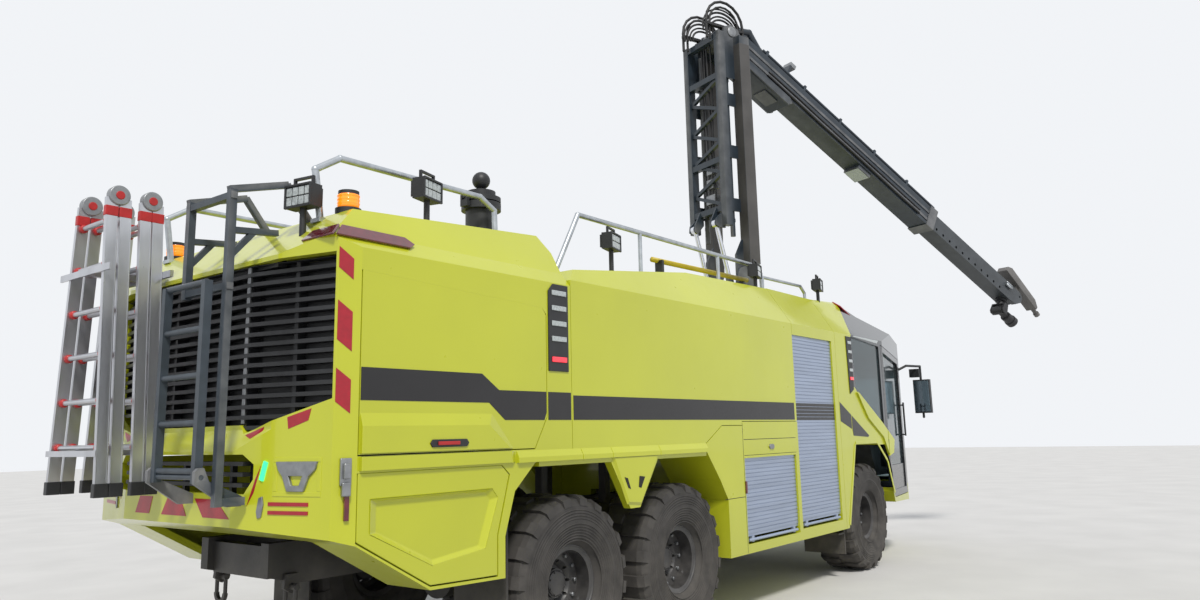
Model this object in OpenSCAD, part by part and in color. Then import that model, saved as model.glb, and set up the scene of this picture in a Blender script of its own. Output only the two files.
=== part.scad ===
// Airport fire truck with six driven wheels and a jointed boom on the roof.
// X points forwards, Y to the truck's left, Z up, and the ground is at Z = 0.

/* [Wheels] */
// Outer diameter of a tyre over its lugs
tyre_d = 1364; // [1300:2:1390]
// Width of a tyre
tyre_w = 570; // [520:5:590]
// Diameter of the wheel rim
rim_d = 592; // [560:4:620]
// Distance from the centreline to the middle of a tyre
wheel_y = 1160; // [1130:5:1180]
// Position of the front axle along the truck
front_x = 3200; // [3150:5:3250]
// Front axle to middle axle
base_front = 4585; // [4500:5:4650]
// Middle axle to rear axle
base_rear = 1555; // [1520:5:1600]
// Number of lugs in each row round a tyre
lug_count = 20; // [14:1:22]
// Height of a tyre lug
lug_h = 26; // [14:1:32]

/* [Bodywork] */
// Overall width of the body
body_w = 3000; // [2970:5:3030]
// Height of the side crease under the roof chamfer
crease_z = 3050; // [3030:5:3070]
// Height of the roof over the lockers
roof_z = 3500; // [3480:5:3515]
// Height of the ledge above the rear wheels
ledge_z = 1640; // [1620:5:1660]
// Height of the sill under the lockers
sill_z = 610; // [580:5:640]
// Thickness of a body wall and of a door
wall = 60; // [46:2:66]
// Gap round a door
door_gap = 8; // [6:1:12]
// Gap between two body sections
seam = 6; // [4:1:10]
// Thickness of the glass
glass_t = 14; // [10:1:20]
// Number of bars in the rear grille
grille_bars = 17; // [13:1:19]

/* [Boom] */
// Position of the slewing axis along the truck
turn_x = 1620; // [1600:5:1630]
// Angle of the boom from straight ahead, negative to the right
slew = -20; // [-22:1:-18]
// Angle of the upper boom below level
boom_drop = 28; // [26:1:30]
// Height of the pin at the foot of the lower boom
foot_z = 3850; // [3845:5:3880]
// Length of the lower boom between its pins
lower_len = 3500; // [3450:10:3550]
// Length of the upper boom from its pin to its mouth
upper_len = 4900; // [4800:10:5000]
// Length of extension that shows at rest
reach_out = 2250; // [2200:10:2350]
// Depth and width of the upper boom
boom_d = 340; // [310:5:344]
// Wall of the upper boom
boom_wall = 22; // [14:1:26]
// Running gap round the extension
slide_gap = 8; // [6:1:12]
// Radius of a lift cylinder
lift_r = 50; // [42:1:54]
// Radius of a lift cylinder's rod
lift_rod_r = 30; // [24:1:34]

/* [Ladders] */
// Number of rungs on each aluminium ladder
rungs = 6; // [5:1:6]
// Spacing of the rungs
rung_step = 305; // [280:5:310]
// Number of rungs on the boarding ladder
steps = 5; // [4:1:5]

/* [Hidden] */
$fn = 48;
origin_x = 1520;
origin_y = -570;
axle_z = tyre_d/2;
mid_x = front_x - base_front;
rear_x = mid_x - base_rear;
half_w = body_w/2;
rim_r = rim_d/2;
hub_in = 150;
tread_r = tyre_d/2 - lug_h;
kingpin_y = 830;
rear_face = -5390;
rear_corner = -5210;
side_rear = -5060;
engine_front = -3050;
tank_front = 1000;
cab_rear = 2250;
pin_s = 400;
elbow_z = foot_z + lower_len;
boom_lift = 120;
beam_in = 285;
beam_w = 170;
lift_y = 225;
eye_s = 50;
eye_z = 4570;
base_s = 430;
base_z = 3080;
lift_len = sqrt(pow(base_s - eye_s, 2) + pow(eye_z - base_z, 2));
lift_angle = atan2(eye_z - base_z, eye_s - base_s);
lift_barrel = 798;
well_r = 612;
well_z = 2900;
seat = 0.3;
ext_d = boom_d - 2*boom_wall - 2*slide_gap;
ext_in = 2650;
head_u = upper_len + reach_out;
tow_z = 625;
bow_w = 116;
bow_drop = 118;
hatch_x = -3350;
hatch_y = -800;

// A profile drawn in X and Z, given thickness across the truck
module side(points, y0, y1) {
  translate([0, y1, 0]) rotate([90, 0, 0]) linear_extrude(y1 - y0) polygon(points);
}

// A profile drawn in Y and Z, given length along the truck
module cross(points, x0, x1) {
  translate([x0, 0, 0]) rotate([90, 0, 90]) linear_extrude(x1 - x0) polygon(points);
}

// A plan drawn in X and Y, given height
module plan(points, z0, z1) {
  translate([0, 0, z0]) linear_extrude(z1 - z0) polygon(points);
}

module block(x0, x1, y0, y1, z0, z1) {
  translate([x0, y0, z0]) cube([x1 - x0, y1 - y0, z1 - z0]);
}

module both() {
  children();
  mirror([0, 1, 0]) children();
}

module rod_y(r, y0, y1) {
  translate([0, y0, 0]) rotate([-90, 0, 0]) cylinder(r = r, h = y1 - y0);
}

// A round or square bar between two points
module bar(a, b, r) {
  d = b - a;
  translate(a) rotate([0, acos(d[2]/norm(d)), atan2(d[1], d[0])]) cylinder(r = r, h = norm(d));
}

module beam(a, b, w, t) {
  d = b - a;
  translate(a) rotate([0, acos(d[2]/norm(d)), atan2(d[1], d[0])])
    translate([-t/2, -w/2, 0]) cube([t, w, norm(d)]);
}

module placed() {
  translate([-origin_x, -origin_y, 0]) children();
}

module on_boom() {
  translate([turn_x, 0, 0]) rotate([0, 0, slew]) children();
}

// The upper boom's own frame, with X along the boom and Z square to it
module on_upper() {
  on_boom() translate([pin_s, 0, elbow_z]) rotate([0, boom_drop, 0]) children();
}

// Wheels

module tyre_shape() {
  w = tyre_w/2;
  rotate([90, 0, 0]) union() {
    rotate_extrude($fn = 64) polygon([[rim_r, -w*0.7], [rim_r + 50, -w*0.92], [rim_r + 170, -w],
      [tread_r - 60, -w*0.97], [tread_r - 14, -w*0.84], [tread_r, -w*0.68], [tread_r, w*0.68],
      [tread_r - 14, w*0.84], [tread_r - 60, w*0.97], [rim_r + 170, w], [rim_r + 50, w*0.92],
      [rim_r, w*0.7]]);
    for (i = [0:lug_count - 1], s = [-1, 1])
      rotate([0, 0, (i + (s > 0 ? 0.5 : 0))*360/lug_count]) translate([0, 46, 0])
        rotate([90, 0, 0]) linear_extrude(92)
          polygon([[tread_r - 20, s*18], [tyre_d/2 - 2, s*18], [tyre_d/2 - 2, s*w*0.74],
            [tread_r - 4, s*w*0.94], [tread_r - 60, s*w*0.985], [tread_r - 40, s*w*0.8]]);
  }
}

module rim_shape() {
  rotate([90, 0, 0]) difference() {
    rotate_extrude() polygon([[0, 60], [0, -hub_in], [80, -hub_in], [96, -132], [96, -40], [150, -40],
      [190, 10], [250, 20], [262, -60], [250, -180], [rim_r - 0.6, -198], [rim_r - 0.6, -184],
      [272, -170], [280, -60], [280, 150], [rim_r - 0.6, 184], [rim_r - 0.6, 198], [256, 188],
      [256, 60], [180, 46], [140, 0], [110, 0], [110, 60]]);
    for (i = [0:9]) rotate([0, 0, i*36]) translate([168, 0, -60]) cylinder(r = 13, h = 140, $fn = 12);
  }
}

module wheel_place(x, side_sign) {
  placed() translate([x, side_sign*wheel_y, axle_z])
    if (side_sign > 0) rotate([0, 0, 180]) children(); else children();
}

module tyre_front_right() color("#1d1d1f") wheel_place(front_x, -1) tyre_shape();
module tyre_front_left() color("#1d1d1f") wheel_place(front_x, 1) tyre_shape();
module tyre_mid_right() color("#1d1d1f") wheel_place(mid_x, -1) tyre_shape();
module tyre_mid_left() color("#1d1d1f") wheel_place(mid_x, 1) tyre_shape();
module tyre_rear_right() color("#1d1d1f") wheel_place(rear_x, -1) tyre_shape();
module tyre_rear_left() color("#1d1d1f") wheel_place(rear_x, 1) tyre_shape();
module rim_front_right() color("#2b2d30") wheel_place(front_x, -1) rim_shape();
module rim_front_left() color("#2b2d30") wheel_place(front_x, 1) rim_shape();
module rim_mid_right() color("#2b2d30") wheel_place(mid_x, -1) rim_shape();
module rim_mid_left() color("#2b2d30") wheel_place(mid_x, 1) rim_shape();
module rim_rear_right() color("#2b2d30") wheel_place(rear_x, -1) rim_shape();
module rim_rear_left() color("#2b2d30") wheel_place(rear_x, 1) rim_shape();

// Chassis, axles and engine

rail_z0 = axle_z + 190;
rail_z1 = rail_z0 + 280;

module chassis() color("#232326") placed() {
  both() difference() {
    union() {
      side([[-4950, rail_z0 + 60], [-4950, rail_z1], [5750, rail_z1], [5750, rail_z0 + 60],
        [5500, rail_z0], [-4700, rail_z0]], 340, 430);
      side([[-4830, rail_z0 + 70], [-4730, rail_z0 + 70], [-4720, rail_z0 - 20],
        [-4780, rail_z0 - 60], [-4840, rail_z0 - 20]], 425, 455);
      side([[5560, 780], [5560, 900], [5740, 900], [5800, 680], [5780, 580], [5690, 570]],
        430, 460);
      // seats of the engine body, tank and lockers
      side([[engine_front - 54, rail_z1 - 5], [engine_front - 54, ledge_z + wall + 20],
        [engine_front - 6, ledge_z + wall + 20], [engine_front - 6, ledge_z], [-2900, ledge_z],
        [-2900, rail_z1 - 5]], 345, 425);
      for (x = [[-2200, -2120, ledge_z], [-1240, -1160, ledge_z], [-300, -250, rail_z1 + 60],
        [945, 1055, rail_z1 + 60], [2192, 2242, rail_z1 + 60]])
        block(x[0], x[1], 345, 425, rail_z1 - 5, x[2]);
    }
    translate([-4780, 0, rail_z0 - 14]) rod_y(22, 400, 480);
    translate([5735, 0, tow_z]) rod_y(30, 400, 480);
  }
  for (x = [-4900, -3300, -2200, -600, 700, 2100, 4300, 5600])
    block(x, x + 90, -345, 345, rail_z0 + 40, rail_z1 - 30);
  // shackles: a pin, two ears and a half ring
  for (s = [-1, 1]) translate([-4780, s*440, rail_z0 - 14]) {
    rod_y(22 - seat, -bow_w/2 - 18, bow_w/2 + 18);
    for (t = [-1, 1]) translate([0, t*bow_w/2, -bow_drop]) cylinder(r = 14, h = bow_drop + 20);
    translate([0, 0, -bow_drop]) rotate([0, 90, 0]) difference() {
      translate([0, 0, -14]) cylinder(r = bow_w/2 + 14, h = 28);
      translate([0, 0, -20]) cylinder(r = bow_w/2 - 14, h = 40);
      translate([-80, -80, -20]) cube([80, 160, 40]);
    }
  }
}

module engine() color("#4a4c50") placed() block(-4650, -3350, -340, 340, rail_z0 + 60, 2250);

module axle_shape(x, y1) {
  translate([x, 0, axle_z]) {
    rod_y(85, -y1, y1);
    rotate([0, 90, 0]) translate([0, 0, -150]) cylinder(r = 205, h = 300);
    translate([0, -60, -40]) cube([360, 120, 110]);
    for (s = [-1, 1]) translate([-110, s*385 - 45, 40]) cube([220, 90, rail_z0 - axle_z - 40]);
  }
}

module front_axle() color("#2a2a2c") placed() {
  axle_shape(front_x, 750);
  both() translate([front_x, 0, axle_z]) for (z = [-132, 92])
    steering_arm(z);
}

module steering_arm(z) {
  translate([-45, 700, z]) cube([90, 130, 40]);
  translate([0, kingpin_y, z]) cylinder(r = 45, h = 40);
  translate([-45, 690, -132]) cube([90, 50, 264]);
}

module rear_axles() color("#2a2a2c") placed() for (x = [mid_x, rear_x]) {
  axle_shape(x, 900);
  both() translate([x, 0, axle_z]) rod_y(106, 900, wheel_y - hub_in - seat);
}

module knuckle_shape(s) placed() translate([front_x, 0, axle_z]) scale_side(s) {
  translate([0, kingpin_y, -92 + seat]) cylinder(r = 42, h = 184 - 2*seat);
  translate([-40, kingpin_y, -60]) cube([80, 100, 120]);
  rod_y(106, kingpin_y + 92, wheel_y - hub_in - seat);
}

module scale_side(s) {
  if (s > 0) children(); else mirror([0, 1, 0]) children();
}

module knuckle_right() color("#303034") knuckle_shape(-1);
module knuckle_left() color("#303034") knuckle_shape(1);

// Engine body

function body_cross(t) = [[-half_w + t, 500], [-half_w + t, crease_z - t/3],
  [-half_w + 300, roof_z + 10 - t], [-half_w + 500, 3700 - t], [half_w - 500, 3700 - t],
  [half_w - 300, roof_z + 10 - t], [half_w - t, crease_z - t/3], [half_w - t, 500]];

module engine_solid(t) {
  intersection() {
    side([[rear_face + t, 1310 + t], [rear_face + t, 1770 - t/2], [rear_face + 70 + t, 1900],
      [rear_face + 70 + t, 2990], [-5000 + t/2, 3290 - t], [-3140, 3440 - t],
      [-2990 - t, 3200 - t], [engine_front - t, 3050], [engine_front - t, ledge_z + t],
      [-3470 - t, ledge_z + t], [-3700 - t, 1440], [-3800 - t, 1140], [-3800 - t, 860 + t],
      [-4480, 880 + t], [side_rear, 1210 + t]], -half_w - 10, half_w + 10);
    plan([[rear_face + t, -700 + t/4], [rear_corner + t, -1460 + t/2], [side_rear + t/2, -half_w + t],
      [engine_front, -half_w + t], [engine_front, half_w - t], [side_rear + t/2, half_w - t],
      [rear_corner + t, 1460 - t/2], [rear_face + t, 700 - t/4]], 400, 3700);
    cross([[-half_w - 9, 390], [-half_w - 9, 2989 - 1.6*t], [-half_w + 90 + 0.8*t, 3110 - 0.6*t],
      [-half_w + 310 + 1.2*t, roof_z], [half_w - 310 - 1.2*t, roof_z],
      [half_w - 90 - 0.8*t, 3110 - 0.6*t], [half_w + 9, 2989 - 1.6*t], [half_w + 9, 390]],
      -5600, -2900);
  }
}

grille_outline = [[-1450, 2960], [-1450, 2070], [-710, 1875], [-640, 1930], [640, 1930],
  [710, 1875], [1450, 2070], [1450, 2960]];
vent_outline = [[-800, 1510], [-870, 1600], [-870, 1690], [-780, 1750], [780, 1750],
  [870, 1690], [870, 1600], [800, 1510]];
upper_door_outline = [[side_rear, 1727], [side_rear, 2860], [-3390, 2790], [-3340, 2740],
  [-3340, 1960], [-3480, 1727]];
lower_door_outline = [[side_rear, 1225], [side_rear, 1627], [-3830, 1627], [-3750, 1560],
  [-3870, 1150], [-3870, 880], [-4480, 900]];

module engine_body() color("#c3c71e") placed() difference() {
  engine_solid(0);
  engine_solid(wall);
  cross(grille_outline, -5600, -5090);
  cross(vent_outline, -5500, -5200);
  both() {
    side(upper_door_outline, half_w - wall - 20, half_w + 50);
    side(lower_door_outline, half_w - wall - 20, half_w + 50);
  }
  block(-5100, -2900, -half_w + 420, half_w - 420, 300, ledge_z + wall + 20);
}

module rear_line(x_in, w) {
  polygon([[rear_face + x_in, -700], [rear_corner + x_in, -1452], [rear_corner + x_in + w, -1452],
    [rear_face + x_in + w, -700], [rear_face + x_in + w, 700], [rear_corner + x_in + w, 1452],
    [rear_corner + x_in, 1452], [rear_face + x_in, 700]]);
}

module grilles() color("#17181a") placed() {
  intersection() {
    cross([[-1429, 2954], [-1429, 2073], [-710, 1882], [-640, 1936], [640, 1936], [710, 1882],
      [1429, 2073], [1429, 2954]], -5600, -4900);
    union() {
      for (i = [0:grille_bars - 1]) translate([0, 0, 1900 + i*1050/(grille_bars - 1)])
        linear_extrude(26) rear_line(85, 70);
      for (y = [-1440, -1050, -654, -330, -15, 300, 624, 1020, 1410])
        intersection() {
          translate([0, 0, 1870]) linear_extrude(1090) rear_line(110, 70);
          block(-5600, -4900, y, y + 30, 1800, 3000);
        }
      translate([0, 0, 1870]) linear_extrude(1090) rear_line(175, 20);
    }
  }
  // top rail behind the rear wall
  block(rear_face + 70 + wall + seat, rear_face + 190, -900, 900, 2930, 2984);
  for (i = [0:2]) block(rear_face + 30, rear_face + 90, -770, 770, 1550 + i*65, 1575 + i*65);
  for (y = [-600, -15, 570])
    block(rear_face + wall + seat, rear_face + 95, y, y + 30, 1480, 1705);
}

module door_piece(outline, s) placed() scale_side(s) intersection() {
  difference() {
    engine_solid(0);
    engine_solid(wall);
  }
  side(outline, half_w - wall, half_w + 10);
}

upper_door_plate = [[side_rear + door_gap, 1727 + door_gap], [side_rear + door_gap, 2860 - 2*seat],
  [-3391, 2790 - seat], [-3340 - door_gap, 2737], [-3340 - door_gap, 1963],
  [-3484, 1727 + door_gap]];
lower_door_plate = [[side_rear + door_gap, 1231], [side_rear + door_gap, 1627 - seat],
  [-3838, 1627 - seat], [-3760, 1558], [-3878, 1152], [-3878, 890], [-4478, 909]];

module upper_door_right() color("#c3c71e") door_piece(upper_door_plate, -1);
module upper_door_left() color("#c3c71e") door_piece(upper_door_plate, 1);
module lower_door_right() color("#b8bc1c") door_piece(lower_door_plate, -1);
module lower_door_left() color("#b8bc1c") door_piece(lower_door_plate, 1);

// Tank and lockers

module tank_solid() {
  intersection() {
    side([[engine_front + seam, ledge_z], [engine_front + seam, 3050], [-2925, 3160], [-882, 3433],
      [tank_front - seam, roof_z - 5], [tank_front - seam, 1925], [-310, 1925], [-310, 1886],
      [-724, 1886], [-1040, 1720], [-1040, ledge_z]], -half_w - 10, half_w + 10);
    cross(body_cross(0), engine_front, tank_front);
  }
}

// What the roof equipment stands on
module roofs() {
  engine_solid(0);
  tank_solid();
  block(tank_front, cab_rear - seam, -1190, 1190, 3300, roof_z);
  cab_solid(0);
}

module tank_body() color("#c3c71e") placed() {
  tank_solid();
  both() {
    side([[-2550, ledge_z + 1], [-1880, ledge_z + 1], [-1880, 1590], [-2160, 1210], [-2300, 1210],
      [-2550, 1590]], half_w - 70, half_w);
    side([[-3440, ledge_z], [-3440, 1600], [-2552, 1600], [-2552, ledge_z + 1],
      [engine_front + seam, ledge_z + 1], [engine_front + seam, ledge_z]], half_w - 70, half_w);
    side([[-1880, ledge_z + 1], [-1880, 1600], [-1042, 1600], [-1042, ledge_z + 1]],
      half_w - 70, half_w);
  }
}

module locker_body() color("#c3c71e") placed() difference() {
  union() {
    intersection() {
      side([[tank_front, sill_z], [tank_front, roof_z], [cab_rear - seam, roof_z],
        [cab_rear - seam, sill_z]], -half_w, half_w);
      cross(body_cross(0), tank_front, cab_rear);
    }
    block(-305, tank_front + 5, -half_w, half_w, sill_z, 1919);
    side([[-1034, 1714], [-722, 1880], [-300, 1880], [-300, sill_z], [-655, sill_z], [-655, 1160],
      [-800, 1365], [-1034, ledge_z]], -half_w, half_w);
  }
  block(-245, 940, -half_w + wall, half_w - wall, sill_z + 60, 1860);
  block(tank_front + 60, cab_rear - 60, -half_w + wall, half_w - wall, sill_z + 60, well_z - 60);
  block(-1100, -340, -900, 900, 400, 1800);
  block(-1200, 2300, -470, 470, 400, rail_z1 + 60);
  both() {
    block(-290, 920, half_w - wall - 5, half_w + 5, 700, 1550);
    block(1000, 2130, half_w - wall - 5, half_w + 5, 730, 2920);
  }
  translate([turn_x, 0, well_z]) cylinder(r = well_r, h = 900, $fn = 96);
}

module shutters() color("#a9b4c4") placed() both() {
  block(-290 + seat, 920 - seat, half_w - 56, half_w - 26, 770, 1550 - seat);
  block(1000 + seat, 2130 - seat, half_w - 56, half_w - 26, 800, 2920 - seat);
  for (z = [800:40:1520]) block(-284, 914, half_w - 27, half_w - 18, z, z + 30);
  for (z = [830:40:2890]) block(1006, 2124, half_w - 27, half_w - 18, z, z + 30);
  for (r = [[-250, 880, 735], [1050, 2080, 765]]) {
    translate([r[0], half_w - 20, r[2]]) rotate([0, 90, 0]) cylinder(r = 16, h = r[1] - r[0]);
    for (x = [r[0] + 60, r[1] - 110]) block(x, x + 50, half_w - 45, half_w - 12, r[2] - 20, r[2] + 40);
  }
}

// Cab

// how far the nose turns in from the side at each of its corners
nose_in = [190, 440, 860, 1240];

module cab_solid(t) {
  intersection() {
    side([[cab_rear + t, 1500], [cab_rear + t, roof_z - t], [3130, 3560 - t], [3590, 3390 - t],
      [5720 - t/2, 2990 - t], [6130 - t, 2520 - t/2], [6320 - t, 1960], [6250 - t, 1420],
      [5930 - t, 730 + t], [4080 + t, 800 + t], [4030 + t, 900], [3830 + t, 1370],
      [3480, 1630 + t], [2740, 1640 + t]], -half_w, half_w);
    plan([[cab_rear, -half_w + t], [3950, -half_w + t], [5150, nose_in[0] - half_w + t],
      [5800, nose_in[1] - half_w + t], [6200 - t/2, nose_in[2] - half_w + t/2],
      [6330 - t, nose_in[3] - half_w], [6330 - t, half_w - nose_in[3]],
      [6200 - t/2, half_w - nose_in[2] - t/2], [5800, half_w - nose_in[1] - t],
      [5150, half_w - nose_in[0] - t], [3950, half_w - t], [cab_rear, half_w - t]], 500, 3700);
    cross(body_cross(t), cab_rear, 6500);
  }
}

cab_door_outline = [[3870, 2990], [5110, 2860], [5110, 860], [4100, 860], [4020, 1180],
  [3870, 1440]];
rear_window = [[2790, 3030], [3800, 2960], [3800, 1850], [2860, 2320]];
front_window = [[5190, 2820], [5760, 2760], [6500, 2400], [6500, 1060], [5190, 1020]];

module window_cuts() {
  both() side(rear_window, half_w - 120, half_w + 50);
  both() side(front_window, 200, half_w);
  block(5600, 6500, -300, 300, 1060, 2700);
}

module arrow_panel(y) {
  side([[2850, 2290], [2880, 2300], [3700, 1890], [4100, 1660], [4040, 1480], [3880, 1440],
    [3700, 1700], [3180, 1960]], y, half_w + 24);
}

module cab() color("#c3c71e") placed() {
  difference() {
    union() {
      cab_solid(0);
      both() side([[cab_rear, sill_z], [cab_rear, 1660], [2760, 1660], [2690, 1630], [2340, 640],
        [2330, sill_z]], half_w - 90, half_w);
    }
    difference() {
      cab_solid(wall);
      block(2200, 4000, -2000, 2000, 600, 1720);
    }
    both() side(cab_door_outline, half_w - 300, half_w + 50);
    window_cuts();
    block(2200, 4100, -480, 480, 400, rail_z1 + 60);
    block(4000, 5800, -480, 480, 400, rail_z1 + 40);
    block(cab_rear - 10, 4010, -half_w - 10, half_w + 10, 400, 1600);
  }
  both() side([[cab_rear, sill_z], [cab_rear, 1661], [2760, 1661], [2690, 1630], [2340, 640],
    [2330, sill_z]], half_w - 90, half_w);
  both() intersection() {
    arrow_panel(half_w - 2);
    block(2800, 3870 - door_gap, 1400, half_w + 50, 1400, 2350);
  }
}

module cab_glass() color("#26323a") placed() intersection() {
  difference() {
    cab_solid(20);
    cab_solid(20 + glass_t);
  }
  window_cuts();
}

cab_door_plate = [[3870 + door_gap, 2980], [5110 - seat, 2852], [5110 - seat, 868],
  [4106, 868], [4027, 1182], [3870 + door_gap, 1443]];

module cab_door(s) placed() scale_side(s) {
  difference() {
    intersection() {
      difference() {
        cab_solid(0);
        cab_solid(wall);
      }
      side(cab_door_plate, half_w - 300, half_w + 10);
    }
    side([[3960, 2890], [5030, 2780], [5030, 960], [4180, 960], [4110, 1210], [3960, 1480]],
      half_w - 300, half_w + 10);
  }
  intersection() {
    arrow_panel(half_w - 30);
    block(3870 + door_gap, 4200, 1400, half_w + 50, 1400, 2350);
  }
  translate([5068, half_w - 138, 1700]) cylinder(r = 14, h = 500);
  for (z = [1720, 2160]) translate([5068, half_w - 200, z]) rod_y(11, 0, 60);
}

module cab_door_right() color("#25282b") cab_door(-1);
module cab_door_left() color("#25282b") cab_door(1);

module cab_interior() color("#2f3236") placed() {
  intersection() {
    side([[4260, rail_z1], [4110, 1400], [4006, 1720], [2320, 1720], [2320, 1760], [4040, 1760],
      [4190, 1440], [4360, 1220], [5700, 1220], [5700, rail_z1]], -1180, 1180);
    cab_solid(wall + 1);
  }
  for (y = [-750, 0, 750]) {
    block(4420, 4930, y - 250, y + 250, 1219, 1560);
    side([[4350, 1500], [4300, 2330], [4380, 2340], [4480, 1560]], y - 240, y + 240);
  }
  for (y = [-750, 750]) {
    block(2900, 3400, y - 250, y + 250, 1750, 2050);
    side([[2830, 1900], [2780, 2680], [2860, 2690], [2950, 2040]], y - 240, y + 240);
  }
  side([[5560, 1219], [5500, 1760], [5640, 1840], [5860, 1700], [5860, 1219]], -900, 900);
  translate([5480, 0, 1800]) rotate([0, -60, 0]) {
    difference() {
      cylinder(r = 230, h = 30);
      translate([0, 0, -5]) cylinder(r = 198, h = 40);
    }
    translate([-14, -205, 4]) cube([28, 410, 22]);
    translate([0, 0, -120]) cylinder(r = 40, h = 140);
  }
}

module mirrors() color("#1c1d1f") placed() both() {
  difference() {
    rail([[5150, 1270, 2690], [5230, 1400, 2765], [5640, 1480, 2770], [5640, 1480, 1980]], 18);
    cab_solid(0);
  }
  block(5600, 5680, 1365, 1615, 2040, 2560);
  block(5560, 5660, 1330, 1480, 2600, 2730);
}

// Roof equipment

module rail(points, r) {
  for (i = [0:len(points) - 2]) bar(points[i], points[i + 1], r);
  for (p = points) translate(p) sphere(r = r*1.06, $fn = 24);
}

module roof_rails() color("#9ea3a8") placed() difference() {
  roof_rail_bars();
  roofs();
}

module roof_rail_bars() {
  both() rail([[-5020, 1000, 3200], [-5080, 1000, 3600], [-4890, 1000, 3720], [-3560, 1000, 3725],
    [-3400, 1000, 3640], [-3390, 1000, 3400]], 24);
  rail([[-2790, -1100, 3160], [-2440, -1100, 3772], [900, -1100, 3780], [1080, -1100, 3700],
    [1100, -1100, 3480]], 24);
  for (x = [-1470, 50]) bar([x, -1100, 3330], [x, -1100, 3770], 20);
  rail([[1190, -1060, 3480], [1200, -1060, 3680], [2280, -1060, 3700], [2400, -1060, 3620],
    [2410, -1060, 3480]], 20);
}

lamp_table = [
  // x, y, roof height, lamp height, turn
  [-5150, -988, 3180, 3400, 190],
  [-4280, -1190, 3380, 3590, -75],
  [-2070, -1190, 3250, 3570, -75],
  [760, -1190, 3470, 3680, -75],
  [2540, -1190, 3480, 3730, -75]];

module lamps() color("#202124") placed() difference() {
  union() {
    for (r = lamp_table) translate([r[0], r[1], r[2] - 60]) {
      cylinder(r = 22, h = r[3] - r[2] + 10, $fn = 24);
      translate([0, 0, r[3] - r[2] + 40]) rotate([0, 0, r[4]]) {
        translate([-45, -115, -60]) cube([90, 230, 150]);
        for (s = [-1, 1]) translate([-10, s*80 - 8, 85]) cube([20, 16, 60]);
        translate([-10, -88, 135]) cube([20, 176, 16]);
      }
    }
    for (s = [-1, 1]) translate([-4920, s*1150, 3230]) {
      cylinder(r = 85, h = 100);
      translate([0, 0, 98]) cylinder(r = 68, h = 122);
    }
  }
  roofs();
}

module filler() color("#1b1c1e") placed() translate([hatch_x, hatch_y, 0]) {
  difference() {
    union() {
      translate([0, 0, 3380]) cylinder(r = 164, h = 90);
      translate([0, 0, 3460]) cylinder(r = 130, h = 290);
      translate([0, 0, 3680]) cylinder(r = 165, h = 60);
    }
    translate([0, 0, 3500]) cylinder(r = 110, h = 300);
    translate([-hatch_x, -hatch_y, 0]) engine_solid(0);
  }
  translate([-200, -40, 3690]) difference() {
    cube([26, 80, 98]);
    translate([-5, 20, 54]) cube([60, 40, 120]);
  }
  translate([-180, -40, 3690]) cube([40, 80, 40]);
}

module filler_lid() color("#1b1c1e") placed() translate([hatch_x, hatch_y, 0]) {
  translate([0, 0, 3750 + seat]) cylinder(r = 164, h = 40);
  translate([0, 0, 3785]) cylinder(r = 120, h = 60);
  translate([0, 0, 3840]) cylinder(r = 30, h = 60);
  translate([0, 0, 3945]) sphere(r = 75, $fn = 32);
  translate([-200, -14, 3760]) cube([80, 28, 24]);
}

// Ladders at the rear

module ladder_half(x, y0, y1, z_top) {
  for (s = [0, 1]) {
    a = s == 0 ? y0 : y1;
    b = s == 0 ? y0 + 150 : y1 - 150;
    beam([x, a, 1540], [x, b, z_top], 76, 30);
    beam([x, a, 1500], [x, a, 1545], 44, 84);
  }
  for (i = [0:rungs - 1]) {
    z = 1810 + i*rung_step;
    k = (z - 1540)/(z_top - 1540)*150;
    translate([x, 0, z]) rod_y(17, y0 + k, y1 - k);
    // collars on the rung, inside each rail
    translate([x, 0, z]) rod_y(26, y0 + k, y0 + k + 42);
    translate([x, 0, z]) rod_y(26, y1 - k - 42, y1 - k);
  }
}

module ladders() color("#aeb3b8") placed() {
  for (x = [-5815, -5725, -5590, -5505]) ladder_half(x, 110, 840, 3490);
  for (x = [-5770, -5548], y = [260, 690]) translate([x, y, 3510]) rod_y(62, -24, 24);
  difference() {
    // rack arms, each just under a row of rungs
    for (z = [[1754, 1793], [2966, 3013]]) {
      block(-5866, rear_face + 90, 455, 495, z[0], z[1] - seat);
      block(-5866, -5853 - seat, 90, 860, z[0], z[1] - seat);
      block(-5467 + seat, -5444, 90, 860, z[0], z[1] - seat);
    }
    engine_solid(0);
  }
}

module ladder_frame() color("#3a424b") placed() difference() {
  union() {
    for (y = [-340, -840]) {
      beam([-5560, y, y < -500 ? 1450 : 2740], [-5560, y, 3390], 46, 46);
      beam([-5583, y, 3386], [-5180, y, 3500], 42, 44);
      beam([-5185, y, 3503], [-4990, y, 3262], 38, 40);
      beam([-5560, y, 3130], [-5240, y, 3160], 40, 38);
      beam([-5560, y, 2960], [-5400, y, 3146], 34, 36);
    }
    beam([-5560, -870, 3350], [-5560, -310, 3350], 42, 42);
    beam([-5560, -870, 2774], [-5560, -310, 2774], 42, 42);
    block(-5580, rear_face, -860, -818, 1452, 1500);
    for (y = [-822, -248])
      side([[-5690, 1590], [-5690, 1660], [-5670, 1680], [-5635, 1680], [-5600, 1600],
        [rear_face, 1504], [rear_face, 1444], [-5480, 1444]], y, y + 30);
  }
  engine_solid(0);
  translate([-5650, 0, 1625]) rod_y(16, -840, -200);
}

module boarding_ladder() color("#48525c") placed() {
  for (y = [-765, -275]) beam([-5650, y, 1590], [-5650, y, 2810], 44, 50);
  for (i = [0:steps - 1]) translate([-5650, 0, 1660 + i*285]) rod_y(19, -765, -275);
  translate([-5650, 0, 1625]) rod_y(16 - seat, -820, -220);
}

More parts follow.
